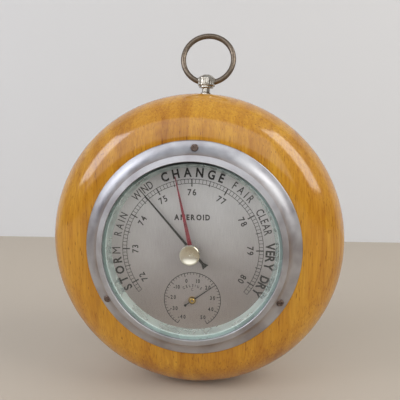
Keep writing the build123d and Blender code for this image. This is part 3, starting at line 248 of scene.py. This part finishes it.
# Pale turned aluminium gathers the light that comes through the glass, a cool pale edge.
REFLECTOR_METAL = make_spun("turned_aluminium_ring", "#E0EEEA", "#D2DFDA", 0.26, 0.5, 0.02)
# Polished pale brass, rubbed almost to silver: creamy, with a clear bright spot.
KNOB_METAL = make_spun("polished_pale_brass", "#DEDACB", "#BCB5A0", 0.27, 0.4, 0.01)
# Lacquered brass stays warm and yellow, and never shines as hard as bare metal.
BRASS = make_spun("lacquered_brass", "#C9A45A", "#A9823C", 0.28, 0.4, 0.01)

# %% [markdown]
# The reflector is the flared wall between the dial and the glass, and it ends in a flat rim under
# the glass. There the metal is dull, and scatters light instead of mirroring the room as a dark
# line. So the material turns less metallic past the radius where the rim starts.

# %% Dull rim of the reflector
WALL_END = 42.5 * MM
RIM_START = 42.7 * MM
rim = node(REFLECTOR_METAL, "ShaderNodeMapRange",
           links={"Value": radius_from_axis(REFLECTOR_METAL)},
           values={"From Min": WALL_END, "From Max": RIM_START, "To Min": 0.82, "To Max": 0.25})
plug(REFLECTOR_METAL, Metallic=rim.outputs["Result"])
print("reflector turns dull from", round(WALL_END / MM, 1), "to", round(RIM_START / MM, 1), "mm")

# %% [markdown]
# Small metal fittings, lacquered hands and pressed boards all age in the same way: little patches
# where the finish has worn, dulled or darkened. One recipe serves them all. A fine noise mixes a
# fresh colour with an aged one, and the aged patches are also rougher. What tells the finishes
# apart is their two colours, their gloss, the size of the patches and how metallic they are.


# %% Worn metals, lacquer and board
def make_worn(name, colour, dark, roughness, patch=1.5, metallic=1.0):
    """Finish with small patches of wear, of a size in millimetres."""
    material = new_material(name, Metallic=metallic)
    place = node(material, "ShaderNodeTexCoord").outputs["Object"]
    wear = node(material, "ShaderNodeTexNoise", links={"Vector": place},
                values={"Scale": 1 / (patch * MM), "Detail": 6.0, "Roughness": 0.6}).outputs["Fac"]
    tint = node(material, "ShaderNodeValToRGB", links={"Fac": wear},
                stops=[(0.35, dark), (0.62, colour)])
    gloss = node(material, "ShaderNodeMapRange", links={"Value": wear},
                 values={"From Min": 0.3, "From Max": 0.7, "To Min": roughness * 1.4,
                         "To Max": roughness * 0.8})
    plug(material, Base_Color=tint.outputs["Color"], Roughness=gloss.outputs["Result"])
    return material


# Nickel plate is near to a mirror, so the post's flutes show as hard bright and dark lines.
NICKEL = make_worn("nickel_plate", "#CFCBC2", "#8E8578", 0.16)
# The ring's plating has gone brown from hands, and only a thin line of light is left on it.
OLD_NICKEL = make_worn("tarnished_nickel", "#7C7064", "#685C50", 0.3)
# Plain filed steel: grey, with a dull gleam.
STEEL = make_worn("plain_steel", "#9A9A9E", "#6E6E74", 0.35)
# Screw heads browned by heat and rust: small dark spots on the bright bezel.
BROWNED_STEEL = make_worn("browned_screw_steel", "#8F8079", "#4A3A32", 0.36, 0.7)
# Springs are tempered blue, which looks nearly black until the light catches them.
BLUED_STEEL = make_worn("blued_spring_steel", "#3A4258", "#23283A", 0.3)
# The pressure hand is blackened: a crisp dark line with hardly any shine.
BLACK_HAND = make_worn("blackened_steel_hand", "#121518", "#0A0B0D", 0.45, 2, 0.4)
# The set hand is lacquered red, deep in colour and slightly glossy.
RED_HAND = make_worn("red_lacquer", "#84122A", "#620A1E", 0.36, 3, 0.0)
# Vulcanised fibre is a matt red-brown board; it makes the washers.
FIBRE = make_worn("vulcanised_fibre", "#6A3320", "#4A2216", 0.6, 1, 0.0)
# Pressed fibreboard closes the back: matt, brown and mottled by its fibres.
HARDBOARD = make_worn("pressed_fibreboard", "#7A5636", "#5C3E24", 0.85, 0.7, 0.0)

# %% [markdown]
# The dial is silvered brass: a warm grey metal with a satin surface that scatters light. It is
# rubbed with silvering powder, which leaves a fine upright grain. Half-metallic and rough gives
# that: it takes the light of the room as a soft wash, but never mirrors it. A slow painted shade
# runs down the dial: its colour goes from white at the top to a darker brown at the bottom.

# %% Silvered dial
# Painted shade: the dial's colour fades from a darker brown at the lower height to white at the
# upper one.
PAINTED_SHADE_BELOW = -34 * MM
UNSHADED_ABOVE = 22 * MM
CLOUD_SIZE = 35 * MM


def make_silvered():
    """Rubbed silvering, clouded, with a painted shade that darkens and browns its lower part."""
    material = new_material("silvered_dial", Metallic=0.55, Roughness=0.46)
    place = node(material, "ShaderNodeTexCoord").outputs["Object"]
    clouds = node(material, "ShaderNodeTexNoise", links={"Vector": place},
                  values={"Scale": 1 / CLOUD_SIZE, "Detail": 3.0})
    silver = node(material, "ShaderNodeValToRGB", links={"Fac": clouds.outputs["Fac"]},
                  stops=[(0.35, "#B9B3B4"), (0.65, "#CAC5C6")])
    # Painted shade: a slow fade darkens and browns the colour towards the bottom of the dial.
    height = node(material, "ShaderNodeSeparateXYZ", links={"Vector": place}).outputs["Z"]
    painted_shade_fade = node(material, "ShaderNodeMapRange", links={"Value": height},
               values={"From Min": PAINTED_SHADE_BELOW, "From Max": UNSHADED_ABOVE})
    painted_shade_tint = node(material, "ShaderNodeValToRGB", links={"Fac": painted_shade_fade.outputs["Result"]},
                      stops=[(0.0, "#C2B5AC"), (1.0, "#FFFFFF")])
    rubbed = long_noise(material, (0.25, 1000, 6), Detail=3.0)
    rub_tint = node(material, "ShaderNodeValToRGB", links={"Fac": rubbed},
                    stops=[(0.3, "#E9E7E8"), (0.7, "#FFFFFF")])
    colour = silver.outputs["Color"]
    for tint, share in ((painted_shade_tint, 1.0), (rub_tint, 0.7)):
        colour = node(material, "ShaderNodeMix", data_type="RGBA", blend_type="MULTIPLY",
                      links={MIX_FIRST: colour, MIX_SECOND: tint.outputs["Color"]},
                      values={MIX_SHARE: share}).outputs[MIX_RESULT]
    bump = node(material, "ShaderNodeBump", links={"Height": rubbed},
                values={"Strength": 0.1, "Distance": 0.01 * MM})
    plug(material, Base_Color=colour, Normal=bump.outputs["Normal"])
    return material


DIAL_SILVER = make_silvered()

# %% [markdown]
# The window is plain glass, a trace green. A renderer that follows light backwards finds few
# paths through glass to a lamp, and the dial behind it would turn dark and grainy. So the glass
# answers a shadow ray as if it were clear air: light falls straight through it on to the dial,
# and the eye still gets its reflections and its bending. Printing ink is a matt black, never
# quite black: under the glass it shows as a very dark warm grey. The finer words carry less ink.


# %% Glass and ink
def make_glass():
    """Clear window glass that lets lamps light the dial behind it."""
    material = new_material("clear_window_glass", Base_Color=linear("#F7FBFA"), Roughness=0.0,
                            IOR=1.5, Transmission_Weight=1.0)
    nodes = material.node_tree.nodes
    rays = node(material, "ShaderNodeLightPath")
    through = node(material, "ShaderNodeBsdfTransparent")
    mix = node(material, "ShaderNodeMixShader",
               links={0: rays.outputs["Is Shadow Ray"], 1: nodes["Principled BSDF"].outputs[0],
                      2: through.outputs[0]})
    material.node_tree.links.new(mix.outputs[0], nodes["Material Output"].inputs["Surface"])
    return material


GLASS = make_glass()
INK = make_worn("printed_black_ink", "#141213", "#201D1E", 0.7, 1, 0.0)
THIN_INK = make_worn("thin_printed_ink", "#211E20", "#302C2E", 0.7, 1, 0.0)

# %% [markdown]
# Every solid names the finish that its maker gave it, and this table says which material each
# finish is. The material goes into the solid's own slot and its shape is left alone.

# %% Dress the CAD pieces
FINISHES = {
    "beech": BEECH, "fibreboard": HARDBOARD, "bezel_aluminium": BEZEL_METAL,
    "reflector": REFLECTOR_METAL, "screw_steel": BROWNED_STEEL, "movement_steel": STEEL,
    "glass": GLASS, "dial": DIAL_SILVER, "brass": BRASS, "capsule": NICKEL,
    "spring_steel": BLUED_STEEL, "pointer_black": BLACK_HAND, "set_hand_red": RED_HAND,
    "knob": KNOB_METAL, "fibre": FIBRE, "nickel": NICKEL, "ring_nickel": OLD_NICKEL,
}
SLOT_OF = {part["node"]: part["material_slot"] for part in frame["record"]["subparts"]}
for name, piece in frame["nodes"].items():
    finish = FINISHES[SLOT_OF[name]]
    if not piece.material_slots:
        piece.data.materials.append(finish)
    for material_slot in piece.material_slots:
        material_slot.material = finish
print("dressed", len(frame["nodes"]), "CAD pieces")

# %% [markdown]
# Three pieces of the movement bend instead of turning. The mainspring is a leaf folded over like a
# hairpin: its foot is clamped to the plate and its other end carries the lever. The chain hangs
# between the arm of the rocking shaft and the pulley. The capsule's upper diaphragm sinks when the
# air presses harder. Each CAD solid is copied and its doubled points are joined. The first two
# copies are set in world space where they stand, and the third is fixed to the case's body with
# a mesh of its own.

# %% Springy pieces
JOIN_DISTANCE = 0.001 * MM


def new_piece(name, shape, material):
    """Make a bmesh an object at the origin."""
    mesh = bpy.data.meshes.new(name)
    shape.to_mesh(mesh)
    shape.free()
    mesh.materials.append(material)
    piece = bpy.data.objects.new(name, mesh)
    bpy.context.scene.collection.objects.link(piece)
    print(name, len(mesh.polygons), "faces")
    return piece


def copy_of(source, name):
    """Copy of a CAD piece that stands for it, with the same finish."""
    shape = bmesh.new()
    shape.from_mesh(frame["nodes"][source].data)
    bmesh.ops.remove_doubles(shape, verts=shape.verts, dist=JOIN_DISTANCE)
    bmesh.ops.recalc_face_normals(shape, faces=shape.faces)
    piece = new_piece(name, shape, FINISHES[SLOT_OF[source]])
    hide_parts(source)
    return piece


low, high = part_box("mainspring")
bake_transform(copy_of("mainspring", "mainspring_leaf"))
low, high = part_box("chain")
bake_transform(copy_of("chain", "fusee_chain"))
low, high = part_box("capsule_upper_diaphragm")
crown = copy_of("capsule_upper_diaphragm", "capsule_crown")
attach(crown, "case_body")
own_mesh(crown)

# %% [markdown]
# The dial is printed in black: a railway scale of air pressure, its numbers, weather words round
# the edge and a small thermometer scale. A flat print could be an image, but an image blurs when
# the camera comes close, so each mark is real geometry: a film of ink 0.03 mm thick on the face.
# The instrument is turned work, and everything on its dial stands on a circle, so one matrix
# places it all. It lays the drawing upright on the dial, moves it out to its radius and turns it
# clockwise from the top. The depth of the dial's face is read from the CAD dial's own box.

# %% Ink helpers
INK_THICK = 0.03 * MM
UPRIGHT = Matrix.Rotation(math.radians(90), 4, "X")
DIAL_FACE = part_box("dial")[0].y
DIAL_CENTRE = (0.0, 0.0)


def on_dial(radius, degrees, centre=DIAL_CENTRE):
    """Matrix that stands a drawing on the dial with its top outwards, clockwise from the top."""
    spot = Matrix.Translation((centre[0], DIAL_FACE, centre[1]))
    turn = Matrix.Rotation(math.radians(degrees), 4, "Y")
    return spot @ turn @ Matrix.Translation((0, 0, radius)) @ UPRIGHT


def print_ink(name, shape, material=INK):
    """Give flat marks the thickness of an ink film and fix them to the case."""
    bmesh.ops.recalc_face_normals(shape, faces=shape.faces)
    flipped = [face for face in shape.faces if face.normal.y > 0]
    bmesh.ops.reverse_faces(shape, faces=flipped)
    bmesh.ops.solidify(shape, geom=shape.faces[:], thickness=INK_THICK)
    back = max(vertex.co.y for vertex in shape.verts)
    bmesh.ops.translate(shape, verts=shape.verts, vec=(0, DIAL_FACE - back, 0))
    bmesh.ops.recalc_face_normals(shape, faces=shape.faces)
    print(name, "depth", [round(-f(v.co.y for v in shape.verts) / MM, 3) for f in (max, min)])
    piece = new_piece(name, shape, material)
    piece.data.shade_flat()
    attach(piece, "case_body")
    return piece


print("dial face", round(-DIAL_FACE / MM, 2), "mm in front of the back")

# %% [markdown]
# A scale is a comb of ticks between two thin arcs. A tick is one grid cell, and an arc is one
# short edge spun about the dial's axis, which gives an even band however far it runs.

# %% Scale helpers
DEGREES_PER_STEP = 2      # of an arc: fine enough to look round at this size


def add_tick(shape, inner, outer, width, degrees, centre=DIAL_CENTRE):
    """Rectangular mark from an inner to an outer radius."""
    size = Matrix.Diagonal((width, outer - inner, 1, 1))
    bmesh.ops.create_grid(shape, x_segments=1, y_segments=1, size=0.5,
                          matrix=on_dial((inner + outer) / 2, degrees, centre) @ size)


def add_arc(shape, radius, width, first, last, centre=DIAL_CENTRE):
    """Thin arc: a radial edge, spun clockwise about the axis."""
    start = on_dial(0, first, centre)
    ends = [shape.verts.new(start @ Vector((0, radius + side * width / 2, 0))) for side in (-1, 1)]
    edge = shape.edges.new(ends)
    bmesh.ops.spin(shape, geom=[edge, *ends], cent=(centre[0], DIAL_FACE, centre[1]),
                   axis=(0, 1, 0), angle=math.radians(last - first),
                   steps=int((last - first) / DEGREES_PER_STEP),
                   use_merge=False, use_duplicate=False)


print("a full turn of arc would take", 360 // DEGREES_PER_STEP, "steps")

# %% [markdown]
# The pressure scale is read in centimetres of mercury. It gives 30 degrees to a centimetre, so a
# millimetre is 3 degrees, and it runs three millimetres past 72 and 80. As on a ruler, the tens
# have the longest and heaviest ticks, the fives are between, and the rest just cross the rails.

# %% Pressure scale
SCALE_OUTER = 35.4 * MM
SCALE_INNER = 33.3 * MM
RAIL_WIDTH = 0.26 * MM
DEGREES_PER_MM = 3
MM_EACH_WAY = 43
# (every so many millimetres, inner radius, width), the longest first
TICKS = ((10, 31.7 * MM, 0.6 * MM), (5, 32.5 * MM, 0.36 * MM), (1, SCALE_INNER, 0.24 * MM))
scale = bmesh.new()
for radius in (SCALE_OUTER, SCALE_INNER):
    add_arc(scale, radius, RAIL_WIDTH, -MM_EACH_WAY * DEGREES_PER_MM, MM_EACH_WAY * DEGREES_PER_MM)
for millimetre in range(-MM_EACH_WAY, MM_EACH_WAY + 1):
    _, inner, width = next(tick for tick in TICKS if millimetre % tick[0] == 0)
    add_tick(scale, inner, SCALE_OUTER, width, millimetre * DEGREES_PER_MM)
print_ink("pressure_scale", scale)

# %% [markdown]
# Letters and numbers come from the built-in font. Each character is typed as a text object, made
# a mesh and then placed alone, because on a ring every letter leans a little further than the last.
# The dial's letters are narrow, so each is squeezed sideways. A bold word is the same letter with
# its outline pushed out by a hair. The letter M is spared that, as its narrow inner corners would
# fill with ink.

# %% Letter helpers
CAP_HEIGHT = 0.69         # height of a capital in the built-in font, for a text size of 1
CROWDED = "M"


def character(letter, height, weight, squeeze):
    """Mesh of one character, its middle at the origin, and its width."""
    text = bpy.data.curves.new("letter", "FONT")
    text.body = letter
    text.align_x = "CENTER"
    text.resolution_u = 3
    text.offset = weight
    typed = bpy.data.objects.new("letter", text)
    bpy.context.scene.collection.objects.link(typed)
    bpy.context.view_layer.update()
    mesh = bpy.data.meshes.new_from_object(typed)
    bpy.data.objects.remove(typed)
    size = height / CAP_HEIGHT
    across = [vertex.co.x for vertex in mesh.vertices]
    middle = Vector(((min(across) + max(across)) / 2, CAP_HEIGHT / 2, 0))
    mesh.transform(Matrix.Diagonal((size * squeeze, size, 1, 1)) @ Matrix.Translation(-middle))
    return mesh, (max(across) - min(across)) * size * squeeze


def place_mesh(shape, mesh, matrix):
    """Add a placed copy of a mesh to a bmesh."""
    mesh.transform(matrix)
    shape.from_mesh(mesh)
    bpy.data.meshes.remove(mesh)


def add_ring_word(shape, word, first, last, foot, height, weight, squeeze, centre=DIAL_CENTRE):
    """Word on a ring: its letters fill the stretch from one angle to another with equal gaps."""
    letters = [character(letter, height, 0 if letter in CROWDED else weight, squeeze)
               for letter in word]
    middle = foot + height / 2
    widths = [math.degrees(width / middle) for _, width in letters]
    gap = (last - first - sum(widths)) / (len(word) - 1)
    turn = first
    for (mesh, _), width in zip(letters, widths):
        place_mesh(shape, mesh, on_dial(middle, turn + width / 2, centre))
        turn += width + gap


def add_line(shape, word, spot, height, weight, squeeze, spacing, turn=0.0, centre=DIAL_CENTRE):
    """Straight line of characters with its middle at (x, z) of a frame turned from the top."""
    letters = [character(letter, height, weight, squeeze) for letter in word]
    gap = spacing * height
    along = -(sum(width for _, width in letters) + gap * (len(word) - 1)) / 2
    for mesh, width in letters:
        here = Matrix.Translation((spot[0] + along + width / 2, spot[1], 0))
        place_mesh(shape, mesh, on_dial(0, turn, centre) @ here)
        along += width + gap


print("letters 4.3 mm high are typed at a size of", round(4.3 / CAP_HEIGHT, 2), "mm")

# %% [markdown]
# The numbers stand inside the scale, one to a centimetre. Each leans with its tick, so that it
# reads upright when the dial is turned to bring it to the top.

# %% Numbers of the pressure scale
TOP_VALUE = 76            # centimetres of mercury at the top of the dial
CM_EACH_WAY = 4
DEGREES_PER_CM = 10 * DEGREES_PER_MM
NUMBER_RADIUS = 28.9 * MM
NUMBER_HEIGHT = 3.0 * MM
numbers = bmesh.new()
for centimetre in range(-CM_EACH_WAY, CM_EACH_WAY + 1):
    add_line(numbers, str(TOP_VALUE + centimetre), (0, NUMBER_RADIUS), NUMBER_HEIGHT, weight=0.022,
             squeeze=0.9, spacing=0.18, turn=centimetre * DEGREES_PER_CM)
print_ink("pressure_numbers", numbers)

# %% [markdown]
# Dials of this kind name the weather that each pressure promises. The words here are the usual
# plain ones. Storm, change and very dry are the strong words, so they are larger and bolder; the
# words between them are printed finer. The kind of instrument is named under them, above the hub.

# %% Weather words
WORD_FOOT = 36.6 * MM
# (word, angle of its first and last edge, height in millimetres)
BOLD_WORDS = (("STORM", -123, -89, 4.3), ("CHANGE", -23, 24, 4.3), ("VERY", 84, 104.5, 4.3),
              ("DRY", 109.5, 126, 4.3))
FINE_WORDS = (("RAIN", -80, -62, 3.8), ("WIND", -49, -31, 3.9), ("FAIR", 32, 50, 3.9),
              ("CLEAR", 58, 78, 3.9))
TITLE_PLACE = (0, 16.4 * MM)
TITLE_HEIGHT = 2.6 * MM
bold = bmesh.new()
for word, first, last, height in BOLD_WORDS:
    add_ring_word(bold, word, first, last, WORD_FOOT, height * MM, weight=0.032, squeeze=0.84)
print_ink("bold_weather_words", bold)
fine = bmesh.new()
for word, first, last, height in FINE_WORDS:
    add_ring_word(fine, word, first, last, WORD_FOOT, height * MM, weight=0.012, squeeze=0.72)
print_ink("fine_weather_words", fine, THIN_INK)
title = bmesh.new()
add_line(title, "ANEROID", TITLE_PLACE, TITLE_HEIGHT, weight=0.045, squeeze=0.85, spacing=0.24)
print_ink("dial_title", title)

# %% [markdown]
# The thermometer has its own little dial. Its scale is one arc, open at the bottom, from 40 below
# to 50 above zero, with a short tick every 2 degrees and a long one every 10. The ticks point
# inwards. It is centred on the hub of the thermometer's hand, read from the frame.

# %% Thermometer scale
low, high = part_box("thermometer_hub")
THERMO_CENTRE = ((low.x + high.x) / 2, (low.z + high.z) / 2)
THERMO_RADIUS = 14.3 * MM
THERMO_RAIL = 0.34 * MM
DEGREES_PER_CELSIUS = 3.3
COLDEST, THERMO_MIDDLE, HOTTEST = -40, 5, 50
# (every so many degrees Celsius, length, width)
THERMO_TICKS = ((2, 1.1 * MM, 0.24 * MM), (10, 1.9 * MM, 0.32 * MM))


def thermo_turn(reading):
    """Angle of a reading from the top of the little dial, in degrees."""
    return (reading - THERMO_MIDDLE) * DEGREES_PER_CELSIUS


thermo = bmesh.new()
add_arc(thermo, THERMO_RADIUS, THERMO_RAIL, thermo_turn(COLDEST), thermo_turn(HOTTEST),
        THERMO_CENTRE)
for step, length, width in THERMO_TICKS:
    for reading in range(COLDEST, HOTTEST + 1, step):
        add_tick(thermo, THERMO_RADIUS - length, THERMO_RADIUS, width, thermo_turn(reading),
                 THERMO_CENTRE)
print_ink("thermometer_scale", thermo)

# %% [markdown]
# The numbers of the little dial stand upright instead of leaning, which is easier to read at this
# size. Under the top of the arc a curved word and a letter C name the scale.

# %% Thermometer figures
FIGURE_RADIUS = 10.4 * MM
FIGURE_HEIGHT = 1.9 * MM
LETTER_PLACE = (0, 5.6 * MM)
LETTER_HEIGHT = 1.5 * MM
SCALE_NAME_FOOT = 7.0 * MM
SCALE_NAME_HEIGHT = 1.3 * MM
figures = bmesh.new()
for reading in range(COLDEST, HOTTEST + 1, 10):
    angle = math.radians(thermo_turn(reading))
    spot = (FIGURE_RADIUS * math.sin(angle), FIGURE_RADIUS * math.cos(angle))
    add_line(figures, str(reading), spot, FIGURE_HEIGHT, weight=0.032, squeeze=0.78, spacing=0.28,
             centre=THERMO_CENTRE)
add_line(figures, "C", LETTER_PLACE, LETTER_HEIGHT, weight=0.0, squeeze=0.78, spacing=0.28,
         centre=THERMO_CENTRE)
add_ring_word(figures, "CELSIUS", -38, 38, SCALE_NAME_FOOT, SCALE_NAME_HEIGHT, weight=0.03,
              squeeze=0.78, centre=THERMO_CENTRE)
print_ink("thermometer_figures", figures)

# %% [markdown]
# The camera stands a hand's reach in front of the dial, a little above and to the right of its
# axis, with a wide lens. That close, the wood's far side curves out of sight and the near parts
# look larger, which is what gives a hand-held view its feeling of nearness. A camera looks down
# its own -Z axis, so it is first tipped up to look along +Y and then turned.

# %% Camera
CAMERA_PLACE = (0.020458, -0.241788, 0.046427)
CAMERA_TURN = (-6.22, -0.211, 4.821)     # one turn about this axis, as long as its angle in degrees
FOCAL_LENGTH = 36.0
SENSOR_WIDTH = 36.0
NEAREST_SEEN = 0.01
camera = bpy.data.objects.new("camera", bpy.data.cameras.new("camera"))
bpy.context.scene.collection.objects.link(camera)
camera.data.lens = FOCAL_LENGTH
camera.data.sensor_width = SENSOR_WIDTH
camera.data.clip_start = NEAREST_SEEN
turn = Vector([math.radians(v) for v in CAMERA_TURN])
camera.matrix_world = (Matrix.Translation(CAMERA_PLACE) @ Matrix.Rotation(turn.length, 4, turn)
                       @ Matrix.Rotation(math.radians(90), 4, "X"))
bpy.context.scene.camera = camera
print("camera", round(Vector(CAMERA_PLACE).length, 3), "m from the middle of the back")

# %% [markdown]
# The barometer stands on a plain warm-grey floor before a plain pale wall. Both are large sheets
# of matt paint with nothing on them, so that the eye stays on the object and its metal has
# something quiet to reflect. The floor lies a hair below the case, which then just rests on it.

# %% Floor and wall
SHEET_SIZE = 4.0
FLOOR_GAP = 0.2 * MM
WALL_BEHIND = 0.36


def matt_sheet(name, place, tilt, colour):
    """Large square sheet of matt paint, tilted up from lying flat by an angle in degrees."""
    shape = bmesh.new()
    bmesh.ops.create_grid(shape, x_segments=1, y_segments=1, size=SHEET_SIZE / 2)
    shape.transform(Matrix.Translation(place) @ Matrix.Rotation(math.radians(tilt), 4, "X"))
    paint = new_material(name + "_paint", Base_Color=linear(colour), Roughness=0.8)
    new_piece(name, shape, paint)


matt_sheet("floor", (0, 0, CAD_BOX[0][2] - FLOOR_GAP), 0, "#BEB3A5")
matt_sheet("backdrop", (0, WALL_BEHIND, 0), 90, "#D9D9DA")

# %% [markdown]
# Two windows and a large soft panel light it. Each window stands well to one side, so that it
# shows as a curved bright patch on the upper left and upper right of the varnish and as a streak
# on the bezel. The panel is in front and high, where the flat glass can't mirror it to the
# camera, and it fills the dial with an even light. The lamps can't be seen themselves.

# %% Lamps
# (name, place in metres, width and height in metres, watts, colour)
LAMPS = (
    ("window_left", (-1.15, -0.68, 0.72), 0.5, 0.75, 6.2, "#F2F6FF"),
    ("window_right", (1.0, -0.45, 0.75), 0.5, 0.9, 6.5, "#FFFDF8"),
    ("fill_front", (-0.3, -1.5, 0.9), 2.8, 1.4, 14.0, "#FFFFFF"),
)
for name, place, width, height, watts, colour in LAMPS:
    light = bpy.data.lights.new(name, "AREA")
    light.shape = "RECTANGLE"
    light.size = width
    light.size_y = height
    light.energy = watts
    light.color = linear(colour)[:3]
    lamp = bpy.data.objects.new(name, light)
    bpy.context.scene.collection.objects.link(lamp)
    lamp.visible_camera = False
    lamp.location = place
    lamp.rotation_euler = (-Vector(place)).to_track_quat("-Z", "Y").to_euler()
    print("lamp", name, watts, "W")

# %% [markdown]
# Polished metal shows whatever is round it, so the room matters as much as the lamps. It is
# painted as a slow fade: a pale ceiling, grey walls, and a darker, warmer lower half, like a room
# with a wooden table. That keeps the top of the bezel light and its lower edge brown. The colours
# go to the screen by the plain standard transform, so each shows about as it is written.

# %% Room light
ROOM_STRENGTH = 0.62
room = bpy.data.worlds.new("room")
bpy.context.scene.world = room
room.use_nodes = True
view = node(room, "ShaderNodeTexCoord").outputs["Generated"]
height = node(room, "ShaderNodeSeparateXYZ", links={"Vector": view}).outputs["Z"]
share = node(room, "ShaderNodeMapRange", links={"Value": height},
             values={"From Min": -0.25, "From Max": 0.7}).outputs["Result"]
fade = node(room, "ShaderNodeValToRGB", links={"Fac": share},
            stops=[(0.0, "#6B5A4C"), (0.35, "#A5A09E"), (1.0, "#E6ECF2")])
background = room.node_tree.nodes["Background"]
room.node_tree.links.new(fade.outputs["Color"], background.inputs["Color"])
background.inputs["Strength"].default_value = ROOM_STRENGTH
bpy.context.scene.view_settings.view_transform = "Standard"
print("room light", ROOM_STRENGTH)
